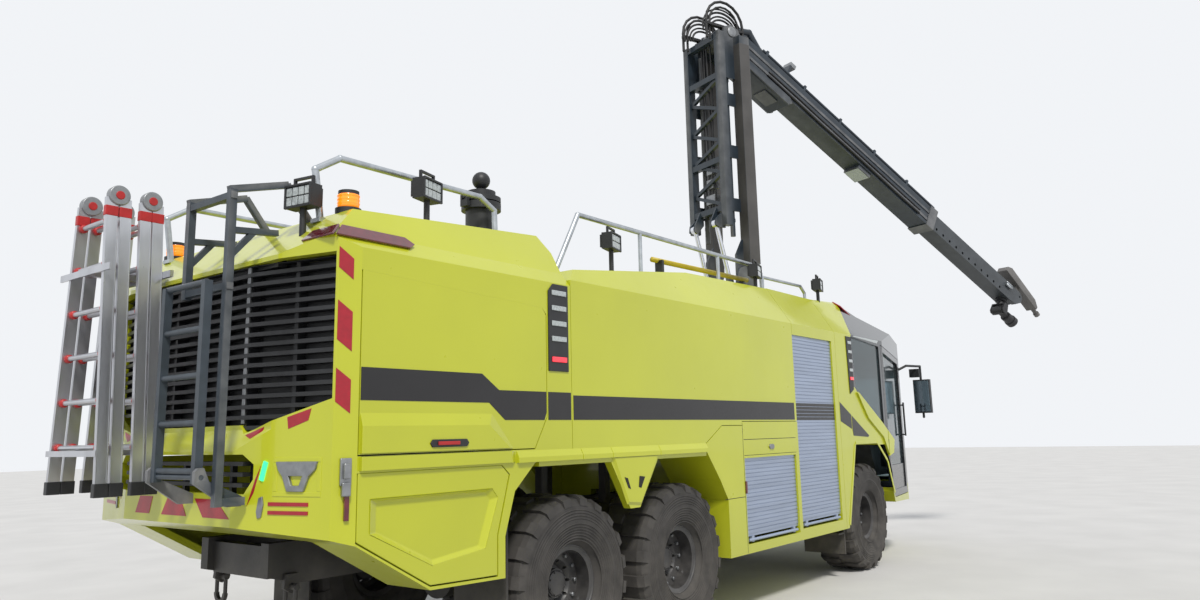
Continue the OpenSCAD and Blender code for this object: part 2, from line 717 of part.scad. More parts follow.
module mud_flaps() color("#151516") placed() both() {
  block(-3720, -3700, 900, 1430, 330, 1379);
  block(2285, 2305, 900, 1440, 300, 600);
  block(2120, 2290, 1250, 1436, 540, 562);
  for (x = [2140, 2220]) block(x, x + 20, 1300, 1330, 560, sill_z);
}

// Boom

module turntable() color("#22262b") placed() on_boom() difference() {
  union() {
    translate([0, 0, well_z + seat]) cylinder(r = 575, h = 90, $fn = 96);
    both() {
      side([[-380, well_z + 80], [465, well_z + 80], [465, 3560], [555, 3700],
        [pin_s + 140, foot_z], [pin_s + 90, foot_z + 110], [pin_s, foot_z + 145],
        [pin_s - 90, foot_z + 110], [pin_s - 140, foot_z], [200, 3500], [-200, 3110]], 335, 375);
      side([[base_s - 70, well_z + 80], [base_s - 70, base_z], [base_s - 40, base_z + 60],
        [base_s + 30, base_z + 60], [base_s + 60, base_z], [base_s + 60, well_z + 80]], 300, 345);
      side([[base_s - 70, well_z + 80], [base_s - 70, base_z], [base_s - 40, base_z + 60],
        [base_s + 30, base_z + 60], [base_s + 60, base_z], [base_s + 60, well_z + 80]], 115, 160);
      translate([base_s, 0, base_z]) rod_y(28 - seat, 120, 340);
      translate([pin_s, 0, foot_z]) rod_y(47 - seat, 287, 374);
    }
    block(250, 380, -336, 336, well_z + 80, well_z + 104);
  }
  translate([0, 0, well_z - 5]) cylinder(r = 90, h = 140);
}

// A cylinder's frame, with Z along its axis from the lower pin
module on_lift() {
  placed() on_boom() both() translate([base_s, lift_y, base_z])
    rotate([0, 90 - lift_angle, 0]) children();
}

module lift_barrels() color("#2b2f34") on_lift() difference() {
  union() {
    rod_y(58, -54, 54);
    translate([0, 0, 40]) cylinder(r = lift_r, h = lift_barrel - 40);
  }
  rod_y(28, -60, 60);
  translate([0, 0, 66]) cylinder(r = lift_r - 9, h = lift_barrel - 66 - 24);
  translate([0, 0, lift_barrel - 30]) cylinder(r = lift_rod_r + seat, h = 60);
}

module lift_rods() color("#d7dadd") on_lift() difference() {
  union() {
    translate([0, 0, lift_barrel - 50]) cylinder(r = lift_rod_r, h = lift_len - lift_barrel + 10);
    translate([0, 0, lift_barrel - 50]) cylinder(r = lift_r - 9 - seat, h = 24);
    translate([0, 0, lift_len]) rod_y(55, -32, 32);
  }
  translate([0, 0, lift_len]) rod_y(32, -60, 60);
}

module lower_boom() color("#28343f") placed() on_boom() {
  r0 = pin_s - 300;
  brace_step = (lower_len - 1700)/8;
  // front beams with foot lugs and elbow lugs
  both() {
    difference() {
      union() {
        block(pin_s + 20, pin_s + 200, beam_in, beam_in + beam_w, foot_z + 170, elbow_z - 90);
        side([[pin_s - 100, foot_z + 20], [pin_s - 70, foot_z - 90], [pin_s + 70, foot_z - 90],
          [pin_s + 190, foot_z + 100], [pin_s + 200, foot_z + 520], [pin_s + 20, foot_z + 520],
          [pin_s - 100, foot_z + 300]], beam_in, beam_in + 42);
        side([[pin_s - 190, elbow_z - 700], [pin_s + 40, elbow_z - 700], [pin_s + 200, elbow_z - 95],
          [pin_s + 120, elbow_z + 60], [pin_s, elbow_z + 110], [pin_s - 120, elbow_z + 60],
          [pin_s - 200, elbow_z - 150]], beam_in + 5, beam_in + 47);
      }
      translate([pin_s, 0, foot_z]) rod_y(47, 200, 500);
      translate([pin_s, 0, elbow_z]) rod_y(47, 200, 500);
    }
    // rear frame
    block(r0, r0 + 110, 290, 390, eye_z - 40, elbow_z - 60);
    for (z = [900, 1650, 2400]) block(r0 + 105, pin_s + 25, 300, 322, foot_z + z, foot_z + z + 180);
    side([[eye_s - 54, eye_z - 34], [eye_s - 40, eye_z + 60], [r0 + 10, eye_z + 150],
      [r0 + 60, eye_z + 150], [r0 + 60, eye_z - 60], [eye_s, eye_z - 62]], 262, 292);
    side([[eye_s - 54, eye_z - 34], [eye_s - 40, eye_z + 60], [r0 + 10, eye_z + 250],
      [r0 + 60, eye_z + 250], [r0 + 60, eye_z + 60], [eye_s, eye_z - 62]], 160, 188);
    // pin ends in the lugs, clear of the rod's eye, which drifts between them
    for (y = [[161, 190], [260, 291]])
      translate([eye_s, 0, eye_z]) rod_y(32 - seat, y[0], y[1]);
    translate([pin_s - 90, 263, foot_z + 560]) cylinder(r = 34, h = lower_len - 750);
    for (z = [foot_z + 750, foot_z + 1750, elbow_z - 750])
      block(pin_s - 110, pin_s - 70, 260, 302, z, z + 50);
  }
  for (z = [eye_z + 170, foot_z + 1570, elbow_z - 730]) block(r0 + 5, r0 + 95, -300, 300, z, z + 80);
  for (i = [0:7]) {
    z = foot_z + 980 + i*brace_step;
    s = i % 2 == 0 ? 1 : -1;
    beam([r0 + 50, -s*305, z], [r0 + 50, s*305, z + brace_step], 46, 46);
  }
  block(r0 + 5, r0 + 95, -300, 300, elbow_z - 160, elbow_z - 80);
}

module elbow_link() color("#1f2327") placed() on_upper() {
  both() side([[-130, -60], [-60, -150], [400, -165], [1380, -178], [1450, -120], [1380, -62],
    [300, -62], [180, 0], [90, 100], [-60, 130], [-130, 60]], 186, 222);
  rod_y(47 - seat, -331, 331);
  block(500, 1400, -190, 190, -176, -60);
  block(980, 1250, -120, 120, -192, -170);
}

// A hose bent over the elbow, with a short straight tail at each end
module hose_arc(y, r_bend, r) {
  rail(concat([[-r_bend, y, -260]],
    [for (a = [180:-20:0]) [r_bend*cos(a), y, r_bend*sin(a)]], [[r_bend, y, -120]]), r);
}

module elbow_hoses() color("#141416") placed() on_boom() translate([pin_s, 0, elbow_z]) {
  for (h = [[-262, 330, 19], [-241, 260, 15], [262, 330, 19], [243, 270, 17]])
    translate([-60, 0, 130]) hose_arc(h[0], h[1], h[2]);
  both() block(-402, 282, 222 + seat, 284, 60, 96);
}

module upper_boom() color("#24282d") placed() on_upper() {
  z0 = boom_lift - boom_d/2;
  z1 = boom_lift + boom_d/2;
  difference() {
    union() {
      block(150, upper_len, -boom_d/2, boom_d/2, z0, z1);
      block(upper_len - 180, upper_len, -boom_d/2 - 16, boom_d/2 + 16, z0 - 16, z1 + 16);
      side([[-120, -60], [-60, -110], [0, -125], [60, -110], [160, z0], [160, z1], [60, z1 - 60],
        [-60, 120], [-120, 60]], -boom_d/2, boom_d/2);
    }
    block(600, upper_len + 10, -boom_d/2 + boom_wall, boom_d/2 - boom_wall, z0 + boom_wall,
      z1 - boom_wall);
    rod_y(47, -400, 400);
  }
  // slide pads at the mouth
  for (z = [[z0 + boom_wall - 1, z0 + boom_wall + slide_gap - seat],
    [z1 - boom_wall - slide_gap + seat, z1 - boom_wall + 1]])
    block(upper_len - 160, upper_len - 20, -70, 70, z[0], z[1]);
  // water pipe, service pipes and their standoffs
  for (p = [[0, 120, 52], [-120, 70, 22], [110, 80, 26]])
    translate([700, p[0], z1 + p[1]]) rotate([0, 90, 0]) cylinder(r = p[2], h = upper_len - 760);
  for (u = [760:830:upper_len - 100])
    block(u, u + 40, -150, 150, z1 - 5, z1 + 110);
  translate([700, 0, z1 + 120]) sphere(r = 56, $fn = 32);
  bar([700, 0, z1 + 120], [430, 0, z1 + 250], 52);
  translate([430, 0, z1 + 250]) sphere(r = 56, $fn = 32);
  bar([430, 0, z1 + 250], [230, 0, z1 + 120], 52);
  bar([230, 0, z1 + 120], [180, 0, z1 - 40], 52);
  translate([230, 0, z1 + 120]) sphere(r = 56, $fn = 32);
  // lamp under the boom and lamp bracket above it
  block(3050, 3330, -150, 150, z0 - 62, z0 + 2);
  block(1250, 1290, -90, 90, z1 + 100, z1 + 270);
  // ribs along the sides
  for (s = [-1, 1], w = [60, 200]) block(400, upper_len - 190, s < 0 ? -boom_d/2 - 12 : boom_d/2 - 2,
    s < 0 ? -boom_d/2 + 2 : boom_d/2 + 12, z0 + w, z0 + w + 40);
}

module extension() color("#2e3338") placed() on_upper() {
  z0 = boom_lift - ext_d/2;
  z1 = boom_lift + ext_d/2;
  difference() {
    union() {
      block(ext_in, head_u, -ext_d/2, ext_d/2, z0, z1);
      side([[head_u - 60, z0], [head_u - 60, z1], [head_u + 220, z1], [head_u + 300, z1 - 60],
        [head_u + 300, boom_lift - 20], [head_u + 180, z0 + 20]], -ext_d/2, ext_d/2);
    }
    block(ext_in - 10, head_u - 120, -ext_d/2 + 16, ext_d/2 - 16, z0 + 16, z1 - 16);
    for (i = [0:10]) translate([upper_len + 120 + i*180, 0, z0 + 60]) rod_y(24, -300, 300);
    block(head_u + 100, head_u + 320, -56, 56, z0 - 10, z1 + 10);
    translate([head_u + 235, 0, boom_lift + 60]) rod_y(20, -300, 300);
  }
}

module monitor_base() color("#151719") placed() on_upper()
  translate([head_u - 40, 0, boom_lift - ext_d/2]) {
    translate([0, 0, -50]) cylinder(r = 95, h = 50 - seat);
    translate([0, 0, -120]) cylinder(r = 62, h = 80);
    both() difference() {
      side([[-70, -240], [-50, -110], [50, -110], [70, -240], [40, -280], [-40, -280]], 98, 124);
      translate([0, 0, -220]) rod_y(21, 80, 140);
    }
    block(-50, 50, -124, 124, -132, -106);
  }

module monitor_nozzle() color("#1a1c1f") placed() on_upper()
  translate([head_u - 40, 0, boom_lift - ext_d/2 - 220]) {
    rod_y(75, -90, 90);
    both() rod_y(21 - seat, 88, 122);
    rotate([0, 90, 0]) {
      cylinder(r = 55, h = 230);
      translate([0, 0, 190]) cylinder(r = 85, h = 150);
      translate([0, 0, 330]) difference() {
        cylinder(r = 98, h = 90);
        translate([0, 0, 30]) cylinder(r = 70, h = 80);
      }
    }
  }

module piercing_tool() color("#8f8d8b") placed() on_upper()
  translate([head_u + 235, 0, boom_lift + 60]) {
    rod_y(20 - seat, -110, 110);
    side([[-46, -46], [46, -46], [46, 255], [-46, 255]], -50, 50);
    rotate([0, 12, 0]) {
      side([[-480, 215], [-480, 300], [-380, 360], [420, 345], [540, 270], [540, 215]], -95, 95);
      translate([530, 0, 255]) rotate([0, 90, 0]) cylinder(r = 36, h = 150);
      translate([660, 0, 255]) rotate([0, 90, 0]) cylinder(r = 50, h = 60);
    }
  }

chassis();
engine();
front_axle();
rear_axles();
knuckle_right();
knuckle_left();
tyre_front_right();
tyre_front_left();
tyre_mid_right();
tyre_mid_left();
tyre_rear_right();
tyre_rear_left();
rim_front_right();
rim_front_left();
rim_mid_right();
rim_mid_left();
rim_rear_right();
rim_rear_left();
engine_body();
grilles();
upper_door_right();
upper_door_left();
lower_door_right();
lower_door_left();
tank_body();
locker_body();
shutters();
cab();
cab_glass();
cab_door_right();
cab_door_left();
cab_interior();
mirrors();
roof_rails();
lamps();
filler();
filler_lid();
ladders();
ladder_frame();
boarding_ladder();
mud_flaps();
turntable();
lift_barrels();
lift_rods();
lower_boom();
elbow_link();
elbow_hoses();
upper_boom();
extension();
monitor_base();
monitor_nozzle();
piercing_tool();
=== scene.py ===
# Airport fire truck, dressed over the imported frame.
# Lengths are metres. Places are given from the truck's own centreline and ground, and
# truckPoint() moves them into the frame.
import math

import bmesh
import bpy
from mathutils import Matrix, Vector


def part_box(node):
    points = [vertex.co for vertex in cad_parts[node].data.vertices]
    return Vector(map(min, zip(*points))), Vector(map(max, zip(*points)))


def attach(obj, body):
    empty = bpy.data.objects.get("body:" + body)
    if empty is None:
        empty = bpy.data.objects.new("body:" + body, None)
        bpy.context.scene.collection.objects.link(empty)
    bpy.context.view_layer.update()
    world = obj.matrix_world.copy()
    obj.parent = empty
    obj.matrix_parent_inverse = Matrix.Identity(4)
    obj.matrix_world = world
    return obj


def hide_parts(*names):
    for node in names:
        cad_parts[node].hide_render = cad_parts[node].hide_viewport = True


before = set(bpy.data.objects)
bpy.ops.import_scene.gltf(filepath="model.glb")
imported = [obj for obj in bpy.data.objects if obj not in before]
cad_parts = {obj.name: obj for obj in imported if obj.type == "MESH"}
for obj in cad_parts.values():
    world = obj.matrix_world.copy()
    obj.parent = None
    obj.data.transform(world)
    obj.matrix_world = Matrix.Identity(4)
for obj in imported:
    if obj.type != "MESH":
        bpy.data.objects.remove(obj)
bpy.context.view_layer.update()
print("stage: frame loaded")

sides = {"right": -1, "left": 1}  # the sign of y on each side
bodySpec = {"frontAxle": 3.2, "sideY": 1.5}
boomSpec = {"turnX": 1.62, "slew": -20.0, "drop": 28.0, "pinS": 0.4, "footZ": 3.85,
            "lowerLen": 3.5, "lift": 0.12, "depth": 0.34}

# the truck's own centreline, found from its front tyres
tyreLow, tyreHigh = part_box("tyre_front_right")
origin = {"x": bodySpec["frontAxle"] - (tyreLow.x + tyreHigh.x) / 2,
          "y": -(tyreLow.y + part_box("tyre_front_left")[1].y) / 2}


def truckPoint(p):
    return Vector((p[0] - origin["x"], p[1] - origin["y"], p[2]))


def boomPoint(s, across, z):
    a = math.radians(boomSpec["slew"])
    x = boomSpec["turnX"] + s * math.cos(a) - across * math.sin(a)
    return (x, s * math.sin(a) + across * math.cos(a), z)


def upperPoint(u, across, w):
    d = math.radians(boomSpec["drop"])
    s = boomSpec["pinS"] + u * math.cos(d) + w * math.sin(d)
    top = boomSpec["footZ"] + boomSpec["lowerLen"]
    return boomPoint(s, across, top - u * math.sin(d) + w * math.cos(d))


def upperWay(u, across, w):
    # a direction along the upper boom's own axes
    return Vector(upperPoint(u, across, w)) - Vector(upperPoint(0, 0, 0))


def addObject(name, data):
    obj = bpy.data.objects.new(name, data)
    bpy.context.scene.collection.objects.link(obj)
    return obj


def meshFrom(bm, name):
    mesh = bpy.data.meshes.new(name)
    bm.to_mesh(mesh)
    bm.free()
    return mesh


# camera, light and floor
view = {"place": (-8.329, -5.851, 1.827), "yaw": 37.47, "pitch": 9.85, "roll": -1.27,
        "lens": 25.98, "shiftY": -0.0137, "sensor": 36.0, "far": 400.0}


def makeCamera():
    data = bpy.data.cameras.new("viewCamera")
    data.sensor_width = view["sensor"]
    data.lens = view["lens"]
    data.shift_y = view["shiftY"]
    data.clip_end = view["far"]
    cam = addObject("viewCamera", data)
    yaw, pitch, roll = (math.radians(view[k]) for k in ("yaw", "pitch", "roll"))
    ahead = Vector((math.cos(yaw) * math.cos(pitch), math.sin(yaw) * math.cos(pitch),
                    math.sin(pitch)))
    right = Vector((math.sin(yaw), -math.cos(yaw), 0.0))
    up = right.cross(ahead)
    r = right * math.cos(roll) + up * math.sin(roll)
    u = -right * math.sin(roll) + up * math.cos(roll)
    turn = Matrix((r, u, -ahead)).transposed().to_4x4()
    cam.matrix_world = Matrix.Translation(truckPoint(view["place"])) @ turn
    bpy.context.scene.camera = cam


def feed(tree, socket, value):
    # link an output to the socket, or set the socket to a plain value
    if isinstance(value, bpy.types.NodeSocket):
        tree.links.new(value, socket)
    else:
        socket.default_value = value


def addNode(tree, kind, inputs=None):
    # a shader node with its inputs fed by name or number
    node = tree.nodes.new("ShaderNode" + kind)
    for key, value in (inputs or {}).items():
        feed(tree, node.inputs[key], value)
    return node


def sums(tree, kind, a, b):
    # one step of arithmetic between two outputs or numbers
    node = addNode(tree, "Math", {0: a, 1: b})
    node.operation = kind
    return node.outputs[0]


def mixColour(tree, share, base, over):
    # base with over laid on it by share
    node = tree.nodes.new("ShaderNodeMix")
    node.data_type = "RGBA"
    for key, value in (("Factor", share), ("A", base), ("B", over)):
        feed(tree, node.inputs[key], value)
    return node.outputs["Result"]


lightSpec = {"sky": (0.86, 0.91, 1.0, 1), "skyLevel": 0.62, "backdrop": (0.93, 0.95, 0.98, 1),
             "backdropLevel": 0.95, "sunLevel": 2.6, "sunAngle": 9.0,
             "sunColour": (1.0, 0.97, 0.92), "sunAim": (0.55, 0.62, -0.95),
             "floor": (0.62, 0.61, 0.59), "floorSize": 70.0}


def makeSky():
    world = bpy.data.worlds.new("softSky")
    world.use_nodes = True
    tree = world.node_tree
    back = tree.nodes["Background"]
    feed(tree, back.inputs["Color"], lightSpec["sky"])
    feed(tree, back.inputs["Strength"], lightSpec["skyLevel"])
    plain = addNode(tree, "Background", {"Color": lightSpec["backdrop"],
                                         "Strength": lightSpec["backdropLevel"]})
    # the camera, and what glass and metal show, see the pale backdrop
    path = addNode(tree, "LightPath")
    seen = path.outputs["Is Camera Ray"]
    for ray in ("Is Glossy Ray", "Is Transmission Ray"):
        seen = sums(tree, "MAXIMUM", seen, path.outputs[ray])
    mix = addNode(tree, "MixShader", {0: seen, 1: back.outputs[0], 2: plain.outputs[0]})
    feed(tree, tree.nodes["World Output"].inputs[0], mix.outputs[0])
    bpy.context.scene.world = world


def makeStage():
    bpy.context.scene.view_settings.view_transform = "Standard"
    makeSky()
    sun = bpy.data.lights.new("softSun", "SUN")
    sun.energy = lightSpec["sunLevel"]
    sun.angle = math.radians(lightSpec["sunAngle"])
    sun.color = lightSpec["sunColour"]
    aim = Vector(lightSpec["sunAim"])
    addObject("softSun", sun).rotation_euler = aim.to_track_quat("-Z", "Y").to_euler()
    bm = bmesh.new()
    bmesh.ops.create_grid(bm, x_segments=1, y_segments=1, size=lightSpec["floorSize"])
    floor = addObject("floorSheet", meshFrom(bm, "floorSheet"))
    floor.data.materials.append(makePaint("floorConcrete", lightSpec["floor"], 0.85, detail=0.9,
                                          shade=0.06, bump=0.05, grain=40.0))


# materials
paintSpec = {"coatRough": 0.06, "cloudDetail": 6.0, "fineDetail": 3.0, "toneSpan": (0.3, 0.7),
             "brighter": 0.6, "wornSpan": (0.54, 0.62), "bare": (0.33, 0.32, 0.31, 1),
             "dirt": (0.2, 0.18, 0.15, 1), "dirtFoot": 0.1, "roughDown": 0.07, "roughUp": 0.1,
             "leastRough": 0.02, "bumpDepth": 0.004, "glassIndex": 1.45}


def makePaint(name, colour, rough, metal=0.0, coat=0.0, detail=3.0, shade=0.1, bump=0.03,
              grain=60.0, dust=0.0, dustTop=1.4, glow=0.0, through=0.0, stretch=(1, 1, 1),
              scratch=0.0):
    spec = paintSpec
    mat = bpy.data.materials.new(name)
    mat.use_nodes = True
    mat.diffuse_color = (*colour, 1)
    tree = mat.node_tree
    place = addNode(tree, "TexCoord").outputs["Object"]
    where = addNode(tree, "Mapping", {"Vector": place, "Scale": stretch}).outputs[0]
    cloud, fine = (addNode(tree, "TexNoise", {"Vector": where, "Scale": scale,
                                              "Detail": spec[depth]}).outputs["Fac"]
                   for scale, depth in ((detail, "cloudDetail"), (grain, "fineDetail")))
    tone = addNode(tree, "ValToRGB", {"Fac": cloud})
    low, high = tone.color_ramp.elements
    low.position, high.position = spec["toneSpan"]
    low.color = (*[c * (1 - shade) for c in colour], 1)
    high.color = (*[min(1, c * (1 + shade * spec["brighter"])) for c in colour], 1)
    last = tone.outputs["Color"]
    if scratch:
        # bare metal on worn edges
        edge = addNode(tree, "NewGeometry").outputs["Pointiness"]
        rim = addNode(tree, "MapRange", {"Value": edge, "From Min": spec["wornSpan"][0],
                                         "From Max": spec["wornSpan"][1]}).outputs[0]
        worn = sums(tree, "MULTIPLY", sums(tree, "MULTIPLY", rim, cloud), scratch)
        last = mixColour(tree, worn, last, spec["bare"])
    if dust:
        # road dirt, thicker towards the ground
        height = addNode(tree, "SeparateXYZ", {"Vector": place}).outputs["Z"]
        rise = addNode(tree, "MapRange", {"Value": height, "From Min": dustTop,
                                          "From Max": spec["dirtFoot"]}).outputs[0]
        film = sums(tree, "MULTIPLY", sums(tree, "MULTIPLY", rise, cloud), dust)
        last = mixColour(tree, film, last, spec["dirt"])
    gloss = addNode(tree, "MapRange", {
        "Value": fine, "To Min": max(spec["leastRough"], rough - spec["roughDown"]),
        "To Max": min(1.0, rough + spec["roughUp"])}).outputs[0]
    relief = addNode(tree, "Bump", {"Strength": bump, "Distance": spec["bumpDepth"],
                                    "Height": fine}).outputs[0]
    looks = {"Metallic": metal, "Coat Weight": coat, "Coat Roughness": spec["coatRough"],
             "Base Color": last, "Roughness": gloss, "Normal": relief}
    if glow:
        looks.update({"Emission Color": (*colour, 1), "Emission Strength": glow})
    if through:
        looks.update({"Transmission Weight": through, "IOR": spec["glassIndex"]})
    for key, value in looks.items():
        feed(tree, tree.nodes["Principled BSDF"].inputs[key], value)
    return mat


finishes = {
    "lime": dict(colour=(0.50, 0.53, 0.016), rough=0.3, coat=0.6, detail=0.8, shade=0.07,
                 bump=0.012, grain=9.0, dust=0.35, dustTop=1.3),
    "stripeBlack": dict(colour=(0.012, 0.011, 0.012), rough=0.36, coat=0.1, detail=3.0,
                        shade=0.2, bump=0.02, grain=30.0),
    "chassisBlack": dict(colour=(0.022, 0.022, 0.024), rough=0.5, detail=5.0, shade=0.3,
                         bump=0.12, grain=70.0, dust=0.7, dustTop=1.6),
    "rimBlack": dict(colour=(0.03, 0.031, 0.035), rough=0.36, coat=0.2, detail=9.0, shade=0.3,
                     bump=0.05, grain=60.0, dust=0.5, dustTop=1.5),
    "tyreRubber": dict(colour=(0.026, 0.025, 0.026), rough=0.78, detail=7.0, shade=0.35,
                       bump=0.35, grain=150.0, dust=0.55, dustTop=1.9),
    "plasticBlack": dict(colour=(0.018, 0.019, 0.021), rough=0.45, detail=8.0, shade=0.25,
                         bump=0.12, grain=240.0),
    "doorBlack": dict(colour=(0.02, 0.021, 0.023), rough=0.25, coat=0.5, detail=4.0,
                      shade=0.2, bump=0.03, grain=40.0),
    "cabTrim": dict(colour=(0.07, 0.075, 0.08), rough=0.6, detail=9.0, shade=0.25, bump=0.3,
                    grain=300.0),
    "darkGlass": dict(colour=(0.22, 0.3, 0.32), rough=0.03, detail=2.0, shade=0.1,
                      bump=0.0, grain=4.0, through=0.9),
    "shutterMetal": dict(colour=(0.36, 0.42, 0.54), rough=0.34, metal=0.55, detail=3.0,
                         shade=0.12, bump=0.04, grain=80.0, stretch=(0.4, 0.4, 6)),
    "railSteel": dict(colour=(0.47, 0.5, 0.53), rough=0.36, metal=0.85, detail=14.0,
                      shade=0.2, bump=0.08, grain=120.0),
    "ladderMetal": dict(colour=(0.56, 0.57, 0.60), rough=0.3, metal=0.9, detail=6.0,
                        shade=0.16, bump=0.06, grain=160.0, stretch=(1, 1, 0.15)),
    "ladderGrey": dict(colour=(0.045, 0.058, 0.072), rough=0.42, detail=9.0, shade=0.25,
                       bump=0.14, grain=190.0, scratch=0.8),
    "flapRubber": dict(colour=(0.016, 0.016, 0.017), rough=0.7, detail=5.0, shade=0.3,
                       bump=0.25, grain=120.0, dust=0.9, dustTop=1.2),
    "boomSlate": dict(colour=(0.018, 0.028, 0.04), rough=0.38, coat=0.15, detail=6.0,
                      shade=0.3, bump=0.1, grain=130.0, scratch=0.6),
    # painted light: a lighter, lit copy of the slate boom paint for the beam's side faces
    "beamLitGrey": dict(colour=(0.04, 0.037, 0.035), rough=0.48, detail=2.5, shade=0.2,
                     bump=0.1, grain=150.0, scratch=0.5),
    "hoseRubber": dict(colour=(0.012, 0.012, 0.013), rough=0.5, detail=10.0, shade=0.3,
                       bump=0.25, grain=260.0),
    "extensionGrey": dict(colour=(0.05, 0.057, 0.064), rough=0.4, detail=5.0, shade=0.25,
                          bump=0.08, grain=110.0),
    "rodChrome": dict(colour=(0.78, 0.8, 0.84), rough=0.08, metal=1.0, detail=5.0, shade=0.05,
                      bump=0.01, grain=60.0),
    "toolGrey": dict(colour=(0.11, 0.105, 0.1), rough=0.45, detail=4.0, shade=0.25, bump=0.1,
                     grain=90.0, scratch=0.4),
    "signRed": dict(colour=(0.36, 0.006, 0.018), rough=0.3, coat=0.3, detail=30.0, shade=0.12,
                    bump=0.08, grain=420.0),
    "lensRed": dict(colour=(0.12, 0.008, 0.02), rough=0.12, coat=0.8, detail=20.0, shade=0.3,
                    bump=0.05, grain=90.0),
    "litRed": dict(colour=(0.9, 0.03, 0.05), rough=0.2, coat=0.6, detail=20.0, shade=0.1,
                   bump=0.02, grain=90.0, glow=0.7),
    "litGreen": dict(colour=(0.05, 0.9, 0.3), rough=0.2, coat=0.6, detail=20.0, shade=0.1,
                     bump=0.02, grain=90.0, glow=1.2),
    "litAmber": dict(colour=(1.0, 0.28, 0.01), rough=0.2, coat=0.6, detail=20.0, shade=0.1,
                     bump=0.02, grain=90.0, glow=0.6),
    "lampFace": dict(colour=(0.42, 0.46, 0.46), rough=0.12, coat=0.8, detail=60.0, shade=0.3,
                     bump=0.1, grain=90.0),
    "clipGrey": dict(colour=(0.3, 0.31, 0.32), rough=0.35, metal=0.8, detail=20.0, shade=0.2,
                     bump=0.1, grain=150.0),
    "jointRed": dict(colour=(0.45, 0.02, 0.02), rough=0.4, detail=20.0, shade=0.15, bump=0.08,
                     grain=150.0),
    # painted shade: near-black for the shade inside seams, slots and hollows
    "seamShadePainted": dict(colour=(0.012, 0.012, 0.01), rough=0.7, detail=20.0, shade=0.2,
                     bump=0.05, grain=90.0),
    "mirrorFace": dict(colour=(0.5, 0.62, 0.7), rough=0.04, metal=1.0, detail=2.0, shade=0.05,
                       bump=0.0, grain=10.0),
    "poleYellow": dict(colour=(0.55, 0.42, 0.02), rough=0.4, detail=9.0, shade=0.15, bump=0.06,
                       grain=90.0),
}
mats = {}


def finish(name):
    if name not in mats:
        mats[name] = makePaint(name, **finishes[name])
    return mats[name]


# mesh tools
def wrap(bm, a, b):
    # faces between two rings of vertices
    for i in range(len(a)):
        j = (i + 1) % len(a)
        bm.faces.new((a[i], b[i], b[j], a[j]))


def soften(obj, width, angle):
    mod = obj.modifiers.new("softEdge", "BEVEL")
    mod.width = width
    mod.segments = 2
    mod.limit_method = "ANGLE"
    mod.angle_limit = math.radians(angle)


def rect(a0, a1, z0, z1):
    return [(a0, z0), (a1, z0), (a1, z1), (a0, z1)]


class Shape:
    def __init__(self, name, body, material, bevel=0.0, smooth=False):
        self.name, self.body, self.material = name, body, material
        self.bevel, self.smooth = bevel, smooth
        self.bm = bmesh.new()

    def ring(self, places, shift=(0, 0, 0)):
        return [self.bm.verts.new(truckPoint(p) + Vector(shift)) for p in places]

    def loft(self, a, b):
        self.bm.faces.new(a)
        self.bm.faces.new(b[::-1])
        wrap(self.bm, a, b)

    def prism(self, base, push):
        self.loft(self.ring(base), self.ring(base, push))

    def box(self, lo, hi):
        x0, y0, z0 = lo
        x1, y1, z1 = hi
        self.prism([(x0, y0, z0), (x1, y0, z0), (x1, y1, z0), (x0, y1, z0)], (0, 0, z1 - z0))

    def circle(self, centre, side, other, radius, steps):
        turns = [2 * math.pi * k / steps for k in range(steps)]
        return [self.bm.verts.new(centre + (side * math.cos(a) + other * math.sin(a)) * radius)
                for a in turns]

    def skin(self, rings, closed):
        for a, b in zip(rings, rings[1:]):
            wrap(self.bm, a, b)
        if closed:
            self.bm.faces.new(rings[0][::-1])
            self.bm.faces.new(rings[-1])

    def turned(self, profile, centre, axis, steps=32, closed=True):
        # a profile of (radius, height) turned about an axis
        axis = Vector(axis).normalized()
        side = axis.orthogonal().normalized()
        other = axis.cross(side)
        self.skin([self.circle(truckPoint(centre) + axis * h, side, other, max(r, 1e-5), steps)
                   for r, h in profile], closed)

    def tube(self, points, radius, steps=10):
        pts = [truckPoint(p) for p in points]
        rings = []
        side = None
        for i, p in enumerate(pts):
            if i == 0:
                way = pts[1] - pts[0]
            elif i == len(pts) - 1:
                way = pts[-1] - pts[-2]
            else:
                way = (pts[i + 1] - p).normalized() + (p - pts[i - 1]).normalized()
            way.normalize()
            if side is None:
                side = way.orthogonal().normalized()
            side = (side - way * side.dot(way)).normalized()
            rings.append(self.circle(p, side, way.cross(side), radius, steps))
        self.skin(rings, True)

    def done(self):
        bmesh.ops.recalc_face_normals(self.bm, faces=self.bm.faces)
        mesh = meshFrom(self.bm, self.name)
        mesh.materials.append(finish(self.material))
        if self.smooth:
            for f in mesh.polygons:
                f.use_smooth = True
        obj = addObject(self.name, mesh)
        if self.bevel:
            soften(obj, self.bevel, 35)
        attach(obj, self.body)


def wallPlates(name, body, material, outlines, sign, y, rise, bevel=0.0):
    # flat plates on a side, from outlines as (x, z)
    s = Shape(name, body, material, bevel)
    for outline in outlines:
        s.prism([(x, sign * y, z) for x, z in outline], (0, sign * rise, 0))
    s.done()


def smoothPath(points, count=8):
    out = []
    p = [Vector(q) for q in points]
    p = [p[0] * 2 - p[1]] + p + [p[-1] * 2 - p[-2]]
    for i in range(1, len(p) - 2):
        for k in range(count):
            t = k / count
            a, b, c, d = p[i - 1], p[i], p[i + 1], p[i + 2]
            out.append(0.5 * ((2 * b) + (c - a) * t + (2 * a - 5 * b + 4 * c - d) * t * t
                              + (3 * b - a - 3 * c + d) * t ** 3))
    out.append(p[-2])
    return [tuple(q) for q in out]


